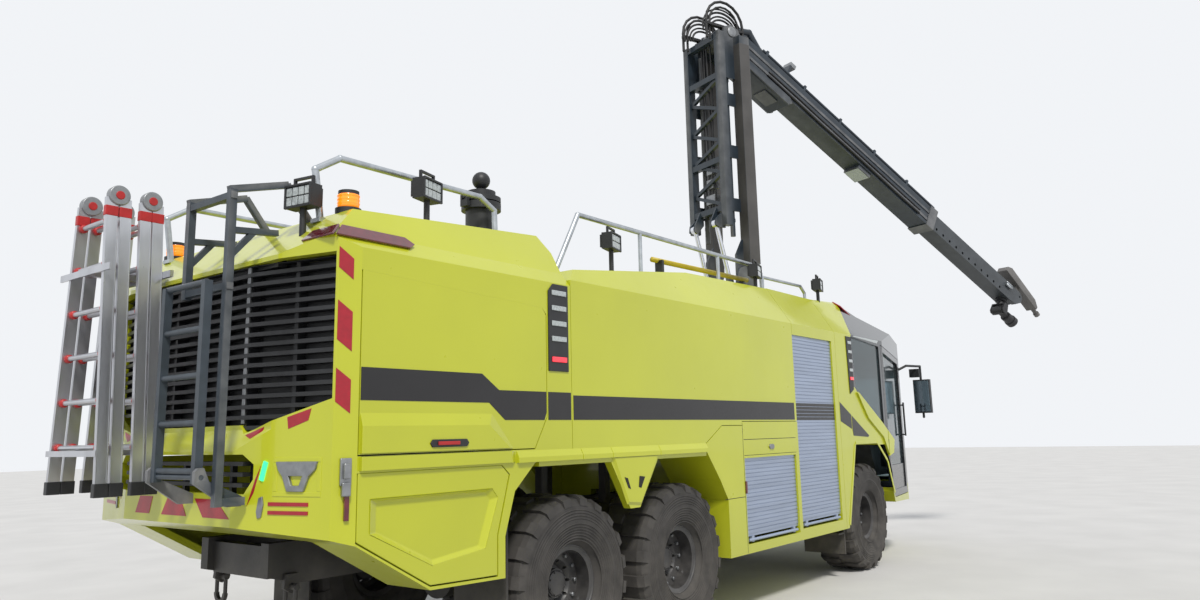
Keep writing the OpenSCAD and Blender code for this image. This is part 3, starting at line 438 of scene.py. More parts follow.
# finishes on the frame's own pieces
nodeFinish = {
    "engine_body": "lime", "tank_body": "lime", "locker_body": "lime", "cab": "lime",
    "upper_door": "lime", "lower_door": "lime", "chassis": "chassisBlack",
    "engine": "chassisBlack", "front_axle": "chassisBlack", "rear_axles": "chassisBlack",
    "knuckle": "chassisBlack", "tyre": "tyreRubber", "rim": "rimBlack",
    "grilles": "plasticBlack", "shutters": "shutterMetal", "cab_glass": "darkGlass",
    "cab_door": "doorBlack", "cab_interior": "cabTrim", "mirrors": "plasticBlack",
    "roof_rails": "railSteel", "lamps": "plasticBlack", "filler": "plasticBlack",
    "filler_lid": "plasticBlack", "ladders": "ladderMetal", "ladder_frame": "ladderGrey",
    "boarding_ladder": "ladderGrey", "mud_flaps": "flapRubber", "turntable": "boomSlate",
    "lift_barrels": "boomSlate", "lift_rods": "rodChrome", "lower_boom": "boomSlate",
    "elbow_link": "boomSlate", "elbow_hoses": "hoseRubber", "upper_boom": "boomSlate",
    "extension": "extensionGrey", "monitor_base": "chassisBlack",
    "monitor_nozzle": "chassisBlack", "piercing_tool": "toolGrey"}
edgeWidths = {"engine_body": 0.008, "tank_body": 0.008, "locker_body": 0.006, "cab": 0.008,
              "upper_door_right": 0.005, "upper_door_left": 0.005,
              "lower_door_right": 0.005, "lower_door_left": 0.005}


def dressNodes():
    for name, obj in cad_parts.items():
        key = max((k for k in nodeFinish if name.startswith(k)), key=len)
        mat = finish(nodeFinish[key])
        if obj.material_slots:
            for s in obj.material_slots:
                s.material = mat
        else:
            obj.data.materials.append(mat)
        if name in edgeWidths:
            soften(obj, edgeWidths[name], 25)


cabSpec = {"postX": 2.785, "postLean": 0.84, "creaseZ": 3.03, "sillZ": 2.33, "sillX": 2.86,
           "sillFall": 0.5, "doorX": 3.86, "doorFall": 2.0, "lowZ": 1.0, "roofUp": 0.93,
           "dark": (0.012, 0.016, 0.019, 1), "darkRough": (0.06, 0.06, 0.06, 1)}


def paintCabShell():
    # the shell is lime, and dark glass round its windows, as the real cab's wrap-round glazing
    spec = cabSpec
    mat = makePaint("limeCab", **finishes["lime"])
    tree = mat.node_tree
    place = addNode(tree, "TexCoord").outputs["Object"]
    spot = addNode(tree, "SeparateXYZ", {"Vector": place})
    x = sums(tree, "ADD", spot.outputs["X"], origin["x"])
    z = spot.outputs["Z"]
    normal = addNode(tree, "NewGeometry").outputs["True Normal"]
    facing = addNode(tree, "SeparateXYZ", {"Vector": normal})
    # in front of the leaning post
    rise = sums(tree, "MAXIMUM", sums(tree, "SUBTRACT", z, spec["creaseZ"]), 0.0)
    post = sums(tree, "ADD", sums(tree, "MULTIPLY", rise, spec["postLean"]), spec["postX"])
    ahead = sums(tree, "GREATER_THAN", x, post)
    # above the falling sill, which drops at the door
    run = sums(tree, "MULTIPLY", sums(tree, "SUBTRACT", x, spec["sillX"]), spec["sillFall"])
    drop = sums(tree, "MULTIPLY", sums(tree, "GREATER_THAN", x, spec["doorX"]),
                spec["doorFall"])
    sill = sums(tree, "SUBTRACT", sums(tree, "SUBTRACT", spec["sillZ"], run), drop)
    above = sums(tree, "GREATER_THAN", z, sums(tree, "MAXIMUM", sill, spec["lowZ"]))
    # and not on the roof
    steep = sums(tree, "LESS_THAN", facing.outputs["Z"], spec["roofUp"])
    dark = sums(tree, "MULTIPLY", sums(tree, "MULTIPLY", ahead, above), steep)
    skin = tree.nodes["Principled BSDF"]
    for name, value in (("Base Color", spec["dark"]), ("Roughness", spec["darkRough"])):
        socket = skin.inputs[name]
        feed(tree, socket, mixColour(tree, dark, socket.links[0].from_socket, value))
    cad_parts["cab"].material_slots[0].material = mat


makeCamera()
makeStage()
dressNodes()
paintCabShell()
print("stage: frame dressed")

# stripes, chevrons and reflectors
stripeSpec = {
    "rise": 0.003, "sink": 0.0005,
    "door": [(-5.048, 2.26), (-4.03, 2.26), (-3.86, 2.15), (-3.352, 2.15), (-3.352, 1.995),
             (-3.375, 1.94), (-3.8, 1.94), (-3.96, 2.06), (-5.048, 2.06)],
    "rear": rect(-3.33, -3.06, 2.15, 1.94), "tank": rect(-3.03, 0.94, 2.13, 1.94),
    "cab": [(2.27, 2.16), (2.62, 2.0), (2.62, 1.82), (2.27, 1.92)],
    "cab_front": [(2.64, 1.99), (3.2, 1.73), (3.16, 1.71), (2.66, 1.735), (2.64, 1.81)],
    "slats": 5, "slatSpan": (1.01, 2.12), "firstSlat": 1.935, "slatStep": 0.04,
    "slatTall": 0.034, "slatY": 1.4825}


def sideDecal(name, body, outline, sign, y=bodySpec["sideY"]):
    wallPlates(name, body, "stripeBlack", [outline], sign, y - stripeSpec["sink"],
               stripeSpec["rise"])


def makeStripes():
    spec = stripeSpec
    for word, sign in sides.items():
        for key in ("door", "rear", "tank", "cab", "cab_front"):
            body = f"upper_door_{word}" if key == "door" else "truck"
            sideDecal(f"stripe_{key}_{word}", body, spec[key], sign)
        for k in range(spec["slats"]):
            z = spec["firstSlat"] + k * spec["slatStep"]
            sideDecal(f"stripe_shutter_{k}_{word}", "truck",
                      rect(*spec["slatSpan"], z, z + spec["slatTall"]), sign, y=spec["slatY"])


rearSpec = {"middleX": -5.39, "flatHalf": 0.7, "sweep": 0.23684, "upperX": -5.32,
            "foldZ": 1.77, "foldTall": 0.13, "cornerX": -5.21, "cornerY": 1.46,
            "cornerRun": (0.15, 0.04), "cornerOut": (-0.26, 0.97)}


def rearX(y, z):
    # the rear wall's x: swept forward beside its flat middle, and set in above the fold
    spec = rearSpec
    low = spec["middleX"] + max(0.0, abs(y) - spec["flatHalf"]) * spec["sweep"]
    high = max(low, spec["upperX"])
    t = min(1.0, max(0.0, (z - spec["foldZ"]) / spec["foldTall"]))
    return low + (high - low) * t


def rearPlates(name, material, outlines, sign=1, inset=0.0005, thick=0.003, bevel=0.0):
    # flat plates on the rear wall, from outlines as (y, z)
    s = Shape(name, "truck", material, bevel)
    for outline in outlines:
        s.prism([(rearX(y, z) + inset, sign * y, z) for y, z in outline], (-thick, 0, 0))
    s.done()


def cornerPlates(name, material, plates, sign, bevel=0.0):
    # plates on the slanted corner, from outlines as (share of its width, z) and their rise
    spec = rearSpec
    alongX, alongY = spec["cornerRun"]
    outX, outY = spec["cornerOut"]
    s = Shape(name, "truck", material, bevel)
    for outline, rise in plates:
        s.prism([(spec["cornerX"] + alongX * t, sign * (spec["cornerY"] + alongY * t), z)
                 for t, z in outline], (rise * outX, sign * rise * outY, 0))
    s.done()


signSpec = {
    "chevrons": [[(0.53, 1.36), (0.33, 1.36), (0.29, 1.475), (0.47, 1.475)],
                 [(0.16, 1.36), (-0.17, 1.36), (-0.09, 1.475), (0.08, 1.475)],
                 [(-0.38, 1.36), (-0.69, 1.36), (-0.53, 1.475), (-0.27, 1.475)]],
    "reflectorZ": (1.445, 1.395), "reflectorSpan": (1.0, 1.3), "reflectorTall": 0.022,
    "reflectorThick": 0.006, "lowBorders": [(0.74, 0.92), (1.12, 1.3)],
    "lowEdge": (0.71, 1.875), "lowSlope": 0.2635, "lowTop": 0.015, "lowFoot": 0.085,
    "sideBorders": [(2.05, 2.25), (2.42, 2.66), (2.86, 2.99)], "sideSpan": (0.06, 0.66),
    "sideFall": 0.07, "flash": [(0.89, 1.6), (0.93, 1.68), (0.88, 1.52), (0.83, 1.44)]}


def lowEdge(y):
    # height of the grille opening's slanted foot
    y0, z0 = signSpec["lowEdge"]
    return z0 + (y - y0) * signSpec["lowSlope"]


def makeRearSigns():
    spec = signSpec
    for k, outline in enumerate(spec["chevrons"]):
        rearPlates(f"chevron_{k}", "signRed", [outline])
    t0, t1 = spec["sideSpan"]
    fall = spec["sideFall"]
    for word, sign in sides.items():
        for k, z in enumerate(spec["reflectorZ"]):
            rearPlates(f"reflector_{k}_{word}", "signRed",
                       [rect(*spec["reflectorSpan"], z, z + spec["reflectorTall"])], sign,
                       thick=spec["reflectorThick"])
        for k, (a, b) in enumerate(spec["lowBorders"]):
            outline = [(a, lowEdge(a) - spec["lowTop"]), (b, lowEdge(b) - spec["lowTop"]),
                       (b - 0.02, lowEdge(b) - spec["lowFoot"]),
                       (a + 0.01, lowEdge(a) - spec["lowFoot"])]
            rearPlates(f"border_low_{k}_{word}", "signRed", [outline], sign)
        for k, (z0, z1) in enumerate(spec["sideBorders"]):
            outline = [(t0, z0), (t1, z0 - fall), (t1, z1 - fall), (t0, z1)]
            cornerPlates(f"border_side_{k}_{word}", "signRed", [(outline, stripeSpec["rise"])],
                         sign)
        rearPlates(f"vent_flash_{word}", "signRed", [spec["flash"]], sign)


# piece: material, inset from the rear wall, thickness, soft edge, outlines as (y, z)
rearPieces = {
    "hatch_frame": ("lime", 0.002, 0.006, 0.004, [
        rect(1.03, 1.39, 1.50, 1.53), rect(1.03, 1.39, 1.70, 1.73),
        rect(1.03, 1.06, 1.53, 1.70), rect(1.36, 1.39, 1.53, 1.70)]),
    "hatch_handle": ("clipGrey", 0.002, 0.02, 0.004, [
        [(1.06, 1.705), (1.37, 1.705), (1.35, 1.655), (1.31, 1.62), (1.25, 1.62), (1.17, 1.62),
         (1.11, 1.62), (1.08, 1.655)],
        [(1.31, 1.625), (1.27, 1.53), (1.15, 1.53), (1.11, 1.625), (1.155, 1.625),
         (1.18, 1.565), (1.24, 1.565), (1.265, 1.625)]]),
    "green_strip": ("litGreen", 0.001, 0.012, 0.0, [
        [(0.93, 1.6), (0.955, 1.59), (0.985, 1.7), (0.96, 1.71)]]),
    "oval_lens": ("clipGrey", 0.001, 0.012, 0.003, [
        [(0.925, 1.37), (0.95, 1.375), (0.965, 1.45), (0.955, 1.5), (0.93, 1.49),
         (0.915, 1.41)]]),
    "grille_strip": ("clipGrey", 0.03, 0.012, 0.002, [
        rect(0.62, 0.655, z0, z1) for z0, z1 in ((1.94, 2.3), (2.31, 2.5), (2.51, 2.95))])}
# piece: material, soft edge, plates on the corner with their rise
cornerPieces = {
    "socket": ("clipGrey", 0.006, [
        (rect(0.3, 0.75, 1.56, 1.72), 0.02), (rect(0.36, 0.7, 1.5, 1.58), 0.035),
        (rect(0.4, 0.66, 1.6, 1.69), 0.045)]),
    "marker": ("lensRed", 0.0, [(rect(0.5, 0.68, 1.36, 1.5), 0.018)])}
capLens = {
    "side": [(-5.235, 1.462, 3.055), (-4.66, 1.462, 3.055), (-4.6, 1.435, 3.09),
             (-4.66, 1.402, 3.135), (-5.155, 1.402, 3.135)], "sideRise": (0, 0.014, 0.008),
    "rear": [(-5.249, 1.14, 3.055), (-5.249, 1.468, 3.055), (-5.164, 1.41, 3.135),
             (-5.164, 1.14, 3.135)], "rearRise": (-0.011, 0, 0.01)}


def flip(places, sign):
    return [(x, sign * y, z) for x, y, z in places]


def makeRearFittings():
    for word, sign in sides.items():
        for name, (material, inset, thick, edge, outlines) in rearPieces.items():
            rearPlates(f"{name}_{word}", material, outlines, sign, inset, thick, edge)
        for name, (material, edge, plates) in cornerPieces.items():
            cornerPlates(f"{name}_{word}", material, plates, sign, edge)
        # dark red lens along the cap's side, turned round its rear corner
        s = Shape(f"cap_lens_{word}", "truck", "lensRed", bevel=0.004)
        for key in ("side", "rear"):
            s.prism(flip(capLens[key], sign), flip([capLens[key + "Rise"]], sign)[0])
        s.done()


# pieces on the sides
panelSpec = {"sink": 0.001, "rise": 0.012, "edge": 0.004, "barOut": 0.01, "barHalf": 0.02,
             "barRise": 0.01}
lightPanels = {
    "light_panel_rear": {
        "outline": [(-3.325, 2.31), (-3.09, 2.31), (-3.09, 2.99), (-3.27, 2.99),
                    (-3.325, 2.93)],
        "bars": [(-3.29, -3.12, z) for z in (2.92, 2.8, 2.68, 2.56, 2.4)]},
    "light_panel_cab": {
        "outline": [(2.63, 2.27), (2.76, 2.33), (2.775, 3.02), (2.6, 3.02)],
        "bars": [(2.64, 2.75, 2.94), (2.64, 2.75, 2.82), (2.645, 2.755, 2.7),
                 (2.65, 2.755, 2.58), (2.655, 2.755, 2.47)]}}
# piece: body, material, y, rise, soft edge, outlines as (x, z)
wallPieces = {
    "door_latch": ("upper_door", "plasticBlack", 1.524, 0.012, 0.003, [
        [(-4.5, 1.765), (-4.2, 1.765), (-4.18, 1.79), (-4.2, 1.815), (-4.5, 1.815),
         (-4.52, 1.79)]]),
    "door_latch_pull": ("upper_door", "jointRed", 1.536, 0.01, 0.004, [
        rect(-4.46, -4.27, 1.778, 1.802)]),
    # the wedge slots, panel seams and grab hole are dark plates of painted shade in the gaps and
    # hollows
    **{f"wedge_slot_{k}": ("truck", "seamShadePainted", 1.5185, 0.002, 0.0, [outline])
       for k, outline in enumerate([
           [(-2.2, 1.38), (-2.165, 1.37), (-2.105, 1.46), (-2.185, 1.47)],
           [(-2.35, 1.38), (-2.315, 1.37), (-2.355, 1.46), (-2.4, 1.47)]])},
    **{f"panel_seam_{k}": ("truck", "seamShadePainted", 1.4995, 0.001, 0.0, [rect(*span)])
       for k, span in enumerate([(-0.29, 0.93, 1.735, 1.741), (-0.31, -0.304, 0.62, 1.9),
                                 (-0.72, -0.31, 1.165, 1.171), (-0.29, 0.93, 1.575, 1.58)])},
    "side_marker": ("truck", "lensRed", 1.4995, 0.012, 0.0, [rect(-0.3, -0.275, 1.2, 1.32)]),
    "drawer_latch": ("truck", "clipGrey", 1.499, 0.014, 0.003, [
        [(0.28, 1.63), (0.36, 1.63), (0.38, 1.655), (0.36, 1.68), (0.28, 1.68),
         (0.26, 1.655)]]),
    "grab_hole_shade": ("truck", "seamShadePainted", 1.5235, 0.002, 0.0, [
        [(3.86, 1.66), (3.93, 1.69), (4.02, 1.62), (3.98, 1.5), (3.9, 1.52)]]),
    "arrow_tip": ("cab_door", "lime", 1.4985, 0.028, 0.003, [
        [(3.877, 1.789), (4.102, 1.661), (4.041, 1.479), (3.88, 1.439), (3.877, 1.442)]]),
    "cant_lens": ("truck", "lampFace", 1.4995, 0.006, 0.006, [
        [(2.86, 3.035), (3.74, 3.0), (3.8, 3.045), (2.9, 3.048)]])}
# piece: body, rise, outline on the wall, outline of the face
raisedPieces = {
    "door_bulge": ("upper_door", 0.026, [
        (-5.045, 1.742), (-3.715, 1.742), (-3.93, 1.985), (-5.045, 1.985)], [
        (-5.045, 1.742), (-3.772, 1.742), (-3.975, 1.905), (-5.045, 1.905)]),
    "body_bulge": ("truck", 0.026, [
        (-5.045, 1.64), (-3.69, 1.64), (-3.70, 1.723), (-5.045, 1.723)], [
        (-5.045, 1.64), (-3.745, 1.64), (-3.757, 1.723), (-5.045, 1.723)]),
    "wedge_face": ("truck", 0.018, [
        (-2.545, 1.632), (-1.87, 1.632), (-2.15, 1.225), (-2.35, 1.245)], [
        (-2.525, 1.632), (-1.89, 1.632), (-2.163, 1.25), (-2.337, 1.267)])}
ledgeSpec = {"runs": [(-3.68, -2.95), (-2.945, -2.56), (-2.555, -1.86), (-1.855, -1.04)],
             "profile": [(1.499, 1.722), (1.526, 1.672), (1.526, 1.634), (1.499, 1.634)]}
archTrim = {"path": [(2.36, 0.64), (2.70, 1.62), (3.46, 1.62), (3.81, 1.36), (4.0, 0.92)],
            "wide": 0.04, "rise": 0.008, "edge": 0.005}


def sideBody(body, word):
    return body if body == "truck" else f"{body}_{word}"


def raised(name, body, low, high, sign, rise):
    # a raised panel with sloping edges
    y = bodySpec["sideY"] - stripeSpec["sink"]
    s = Shape(name, body, "lime", bevel=0.002)
    s.loft(s.ring([(x, sign * y, z) for x, z in low]),
           s.ring([(x, sign * (y + rise), z) for x, z in high]))
    s.done()


def makeSidePanels():
    y = bodySpec["sideY"]
    spec = panelSpec
    half = spec["barHalf"]
    for word, sign in sides.items():
        for name, panel in lightPanels.items():
            wallPlates(f"{name}_{word}", "truck", "plasticBlack", [panel["outline"]], sign,
                       y - spec["sink"], spec["rise"], spec["edge"])
            for k, (x0, x1, z) in enumerate(panel["bars"]):
                # the lowest bar is the red one
                material = "litRed" if k == len(panel["bars"]) - 1 else "lampFace"
                wallPlates(f"{name}_{word}_bar_{k}", "truck", material,
                           [rect(x0, x1, z - half, z + half)], sign, y + spec["barOut"],
                           spec["barRise"], spec["edge"])
        for name, (body, material, wall, rise, edge, outlines) in wallPieces.items():
            wallPlates(f"{name}_{word}", sideBody(body, word), material, outlines, sign, wall,
                       rise, edge)
        for name, (body, rise, low, high) in raisedPieces.items():
            raised(f"{name}_{word}", sideBody(body, word), low, high, sign, rise)
        s = Shape(f"ledge_cap_{word}", "truck", "lime", bevel=0.003)
        for x0, x1 in ledgeSpec["runs"]:
            s.prism([(x0, sign * across, z) for across, z in ledgeSpec["profile"]],
                    (x1 - x0, 0, 0))
        s.done()
        strips = []
        for a, b in zip(archTrim["path"], archTrim["path"][1:]):
            d = Vector((b[0] - a[0], b[1] - a[1])).normalized() * archTrim["wide"]
            strips.append([a, b, (b[0] - d.y, b[1] + d.x), (a[0] - d.y, a[1] + d.x)])
        wallPlates(f"cab_arch_trim_{word}", "truck", "lime", strips, sign, y, archTrim["rise"],
                   archTrim["edge"])


lowerDoorSpec = {"recess": 0.026, "inner": 0.89, "outer": 1.02, "edge": 0.005, "outline": [
    (-4.96, 1.47), (-3.93, 1.47), (-3.875, 1.41), (-4.0, 1.08), (-4.46, 1.03), (-4.96, 1.27)]}


def doorCutter(sign):
    # the block that presses the panel into a lower door
    spec = lowerDoorSpec
    outline = spec["outline"]
    wall = bodySpec["sideY"]
    mx = sum(x for x, z in outline) / len(outline)
    mz = sum(z for x, z in outline) / len(outline)
    cut = bmesh.new()
    rings = [[cut.verts.new(truckPoint((mx + (x - mx) * share, sign * y, mz + (z - mz) * share)))
              for x, z in outline]
             for share, y in ((spec["outer"], wall + 0.005), (1.0, wall),
                              (spec["inner"], wall - spec["recess"]))]
    cut.faces.new(rings[0])
    cut.faces.new(rings[-1][::-1])
    for a, b in zip(rings, rings[1:]):
        wrap(cut, a, b)
    bmesh.ops.recalc_face_normals(cut, faces=cut.faces)
    return addObject("recess", meshFrom(cut, "recess"))


def makeLowerDoors():
    # the lower doors with their pressed panel, in place of the plain plates
    for word, sign in sides.items():
        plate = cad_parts[f"lower_door_{word}"]
        cutter = doorCutter(sign)
        door = addObject(f"pressed_door_{word}", plate.data.copy())
        carve = door.modifiers.new("carve", "BOOLEAN")
        carve.object = cutter
        carve.operation = "DIFFERENCE"
        carve.solver = "EXACT"
        bpy.context.view_layer.update()
        ready = bpy.data.meshes.new_from_object(
            door.evaluated_get(bpy.context.evaluated_depsgraph_get()))
        door.modifiers.clear()
        door.data = ready
        door.data.materials.clear()
        door.data.materials.append(finish("lime"))
        bpy.data.objects.remove(cutter, do_unlink=True)
        soften(door, lowerDoorSpec["edge"], 20)
        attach(door, f"lower_door_{word}")
        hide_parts(f"lower_door_{word}")


# cab, glass, lamps and wipers
cabPieces = {
    "narrowX": 3.95, "narrow": 0.15833,
    "glass": [(3.945, 2.905), (5.045, 2.79), (5.045, 0.945), (4.17, 0.945), (4.1, 1.2),
              (3.945, 1.47)],
    "skin": [(4.13, 0.92), (5.07, 0.92), (5.07, 1.3), (4.05, 1.3)],
    "mirrorX": (5.594, 5.6), "mirrorY": 1.49, "mirrorHalf": 0.11, "mirrorZ": (2.06, 2.54),
    "lamps": 3, "lampY": 0.62, "lampStep": 0.15, "lampZ": 0.92,
    "noseX": 6.2, "noseFrom": 0.4, "noseSweep": 0.62,
    "wiperArm": [(6.24, 0.45, 1.12), (6.33, 0.5, 1.5), (6.31, 0.42, 1.95)],
    "wiperBlade": [(6.33, 0.5, 1.35), (6.325, 0.38, 2.2)],
    "roofLens": [(3.14, 1.245, 3.49), (3.14, 1.13, 3.565), (3.6, 1.13, 3.392),
                 (3.6, 1.29, 3.30)]}


def doorPlate(name, word, material, outline, inset, rise, bevel=0.0):
    # a plate on a cab door, which narrows towards the nose
    spec = cabPieces
    sign = sides[word]
    s = Shape(f"{name}_{word}", f"cab_door_{word}", material, bevel)
    s.prism([(x, sign * (bodySpec["sideY"] - max(0.0, x - spec["narrowX"]) * spec["narrow"]
                         - inset), z) for x, z in outline], (0, sign * rise, 0))
    s.done()


def makeCab():
    spec = cabPieces
    for word, sign in sides.items():
        doorPlate("door_glass", word, "darkGlass", spec["glass"], 0.03, -0.01)
        doorPlate("door_lower_skin", word, "doorBlack", spec["skin"], 0.02, 0.004, 0.003)
        s = Shape(f"mirror_face_{word}", "truck", "mirrorFace", bevel=0.002)
        (x0, x1), (z0, z1), middle = spec["mirrorX"], spec["mirrorZ"], sign * spec["mirrorY"]
        s.box((x0, middle - spec["mirrorHalf"], z0), (x1, middle + spec["mirrorHalf"], z1))
        s.done()
        s = Shape(f"head_lamp_{word}", "truck", "lampFace", bevel=0.006)
        for k in range(spec["lamps"]):
            y = spec["lampY"] + k * spec["lampStep"]
            x = spec["noseX"] - (y - spec["noseFrom"]) * spec["noseSweep"]
            s.turned([(0.062, 0.0), (0.062, 0.03), (0.05, 0.045)], (x, sign * y, spec["lampZ"]),
                     (1, sign * 0.5, -0.1), steps=24)
        s.done()
        s = Shape(f"wiper_{word}", "truck", "plasticBlack")
        s.tube(smoothPath(flip(spec["wiperArm"], sign), 5), 0.012, 6)
        s.tube(flip(spec["wiperBlade"], sign), 0.01, 6)
        s.done()
        s = Shape(f"roof_lens_{word}", "truck", "signRed", bevel=0.006)
        s.prism(flip(spec["roofLens"], sign), (0, sign * 0.01, 0.014))
        s.done()


wheelSpec = {"axles": {"front": 3.2, "mid": -1.385, "rear": -2.94}, "trackY": 1.16,
             "axleZ": 0.682, "nuts": 12, "nutCircle": 0.222, "bolts": 8, "boltCircle": 0.09,
             "innerR": 0.335, "innerOut": 0.262, "bulgeR": 0.466, "bulgeOut": 0.2845,
             "wallRun": 0.13, "innerRise": 0.0225, "outerFall": 0.0085}
# rings moulded in the sidewall: first radius, step, count, half width, height, foot
sideRings = [(0.335, 0.021, 7, 0.006, 0.004, 0.002), (0.5, 0.022, 4, 0.007, 0.005, 0.004)]


def sidewallOut(r):
    # how far the sidewall stands out from the wheel's middle at radius r
    spec = wheelSpec
    if r < spec["bulgeR"]:
        return spec["innerOut"] + (r - spec["innerR"]) / spec["wallRun"] * spec["innerRise"]
    return spec["bulgeOut"] - (r - spec["bulgeR"]) / spec["wallRun"] * spec["outerFall"]


def around(centre, radius, count, start=0.0):
    # places on a circle in the wheel's plane
    x, y, z = centre
    turns = [2 * math.pi * (k + start) / count for k in range(count)]
    return [(x + radius * math.cos(a), y, z + radius * math.sin(a)) for a in turns]


def makeWheel(name, x, sign):
    spec = wheelSpec
    body = "wheel_" + name
    centre = (x, sign * spec["trackY"], spec["axleZ"])
    axis = (0, sign, 0)
    s = Shape("sidewall_rings_" + name, body, "tyreRubber", smooth=True)
    for first, step, count, half, top, foot in sideRings:
        for k in range(count):
            r = first + k * step
            w = sidewallOut(r)
            s.turned([(r - half, w - 0.004), (r - 0.003, w + top), (r + 0.003, w + top),
                      (r + half, w - foot)], centre, axis, steps=56, closed=False)
    s.done()
    s = Shape("rim_nuts_" + name, body, "clipGrey", bevel=0.002)
    for c in around(centre, spec["nutCircle"], spec["nuts"]):
        s.turned([(0.017, 0.05), (0.017, 0.074), (0.01, 0.078)], c, axis, steps=6)
    s.done()
    s = Shape("hub_cap_" + name, body, "rimBlack", bevel=0.002)
    s.turned([(0.1, 0.058), (0.1, 0.07), (0.086, 0.078), (0.03, 0.08)], centre, axis, steps=40)
    for c in around(centre, spec["boltCircle"], spec["bolts"], 0.5):
        s.turned([(0.008, 0.07), (0.008, 0.084)], c, axis, steps=6)
    s.done()
    s = Shape("rim_lip_" + name, body, "rimBlack", smooth=True)
    s.turned([(0.283, 0.19), (0.29, 0.203), (0.298, 0.206), (0.302, 0.2)], centre, axis,
             steps=64, closed=False)
    s.done()


def makeWheels():
    for end, x in wheelSpec["axles"].items():
        for word, sign in sides.items():
            makeWheel(f"{end}_{word}", x, sign)


roofSpec = {
    # scene lamps as x, y, z and the turn they face
    "lamps": [(-5.15, -0.988, 3.4, 190), (-4.28, -1.19, 3.59, -75), (-2.07, -1.19, 3.57, -75),
              (0.76, -1.19, 3.68, -75), (2.54, -1.19, 3.73, -75)],
    "lampOut": 0.044, "lampDrop": 0.005, "lampRows": 2, "lampColumns": 4, "cellWide": 0.054,
    "cellTall": 0.064, "fins": 7, "finStep": 0.033, "beacon": (-4.92, 1.15, 3.268),
    "dome": [(0.069, 0.062), (0.072, 0.085), (0.07, 0.15), (0.064, 0.172), (0.04, 0.183),
             (0.0, 0.185)], "domeRibs": 3, "railFeet": [(-5.02, 3.27), (-3.39, 3.42)],
    "rod": [(-1.0, -0.92, 3.6), (0.95, -0.98, 3.62)], "rodClips": (-0.9, 0.85)}


def slab(shape, middle, side, wide, tall, push):
    # an upright block from its middle, by half its width and height
    shape.prism([tuple(middle + side * dx * wide + Vector((0, 0, dz * tall)))
                 for dx, dz in ((-1, -1), (1, -1), (1, 1), (-1, 1))], tuple(push))


def makeLamp(k, x, y, z, turn):
    spec = roofSpec
    a = math.radians(turn)
    out = Vector((math.cos(a), math.sin(a), 0))
    side = Vector((-math.sin(a), math.cos(a), 0))
    c = Vector((x, y, z - spec["lampDrop"])) + out * spec["lampOut"]
    s = Shape(f"lamp_face_{k}", "truck", "lampFace", bevel=0.003)
    for row in range(spec["lampRows"]):
        for column in range(spec["lampColumns"]):
            spot = (c + side * (-0.081 + column * spec["cellWide"])
                    + Vector((0, 0, -0.032 + row * spec["cellTall"])))
            slab(s, spot, side, 0.023, 0.028, out * 0.008)
    s.done()
    s = Shape(f"lamp_bezel_{k}", "truck", "plasticBlack", bevel=0.004)
    for way in (-1, 1):
        slab(s, c + side * way * 0.11, side, 0.008, 0.078, out * 0.016)
    for way in (-1, 1):
        slab(s, c + Vector((0, 0, way * 0.072)), side, 0.114, 0.008, out * 0.016)
    for fin in range(spec["fins"]):
        slab(s, c - out * 0.09 + side * (-0.1 + fin * spec["finStep"]), side, 0.004, 0.06,
             -out * 0.022)
    s.done()


def makeRoof():
    spec = roofSpec
    for k, lamp in enumerate(spec["lamps"]):
        makeLamp(k, *lamp)
    for word, sign in sides.items():
        s = Shape(f"beacon_dome_{word}", "truck", "litAmber", smooth=True)
        foot = flip([spec["beacon"]], sign)[0]
        s.turned(spec["dome"], foot, (0, 0, 1))
        for k in range(spec["domeRibs"]):
            h = k * 0.026
            s.turned([(0.0725, 0.09 + h), (0.0745, 0.096 + h), (0.0725, 0.102 + h)], foot,
                     (0, 0, 1), closed=False)
        s.done()
        s = Shape(f"rail_feet_{word}", "truck", "railSteel", bevel=0.003)
        for x, z in spec["railFeet"]:
            s.box((x - 0.05, sign * 1.0 - 0.05, z - 0.03), (x + 0.05, sign * 1.0 + 0.05, z))
        s.done()
    s = Shape("yellow_rod", "truck", "poleYellow", smooth=True)
    s.tube(spec["rod"], 0.028, 14)
    s.done()
    s = Shape("yellow_rod_clips", "truck", "plasticBlack", bevel=0.003)
    for x in spec["rodClips"]:
        s.box((x - 0.02, -0.99, 3.4), (x + 0.02, -0.9, 3.6))
    s.done()


ladderSpec = {"places": (-5.815, -5.725, -5.59, -5.505), "rungs": 6, "firstRung": 1.81,
              "step": 0.305, "lean": 0.15, "foot": 1.54, "tall": 1.95, "collars": (3.36, 3.43),
              "rails": (0.11, 0.84), "middle": 0.475, "shoe": (1.498, 1.585), "ribTop": 3.34,
              "ribWide": 0.008, "headX": (-5.77, -5.548), "headY": (0.26, 0.69),
              "headZ": 3.51}


def railY(z):
    # how far a rail leans in at height z
    return (z - ladderSpec["foot"]) / ladderSpec["tall"] * ladderSpec["lean"]


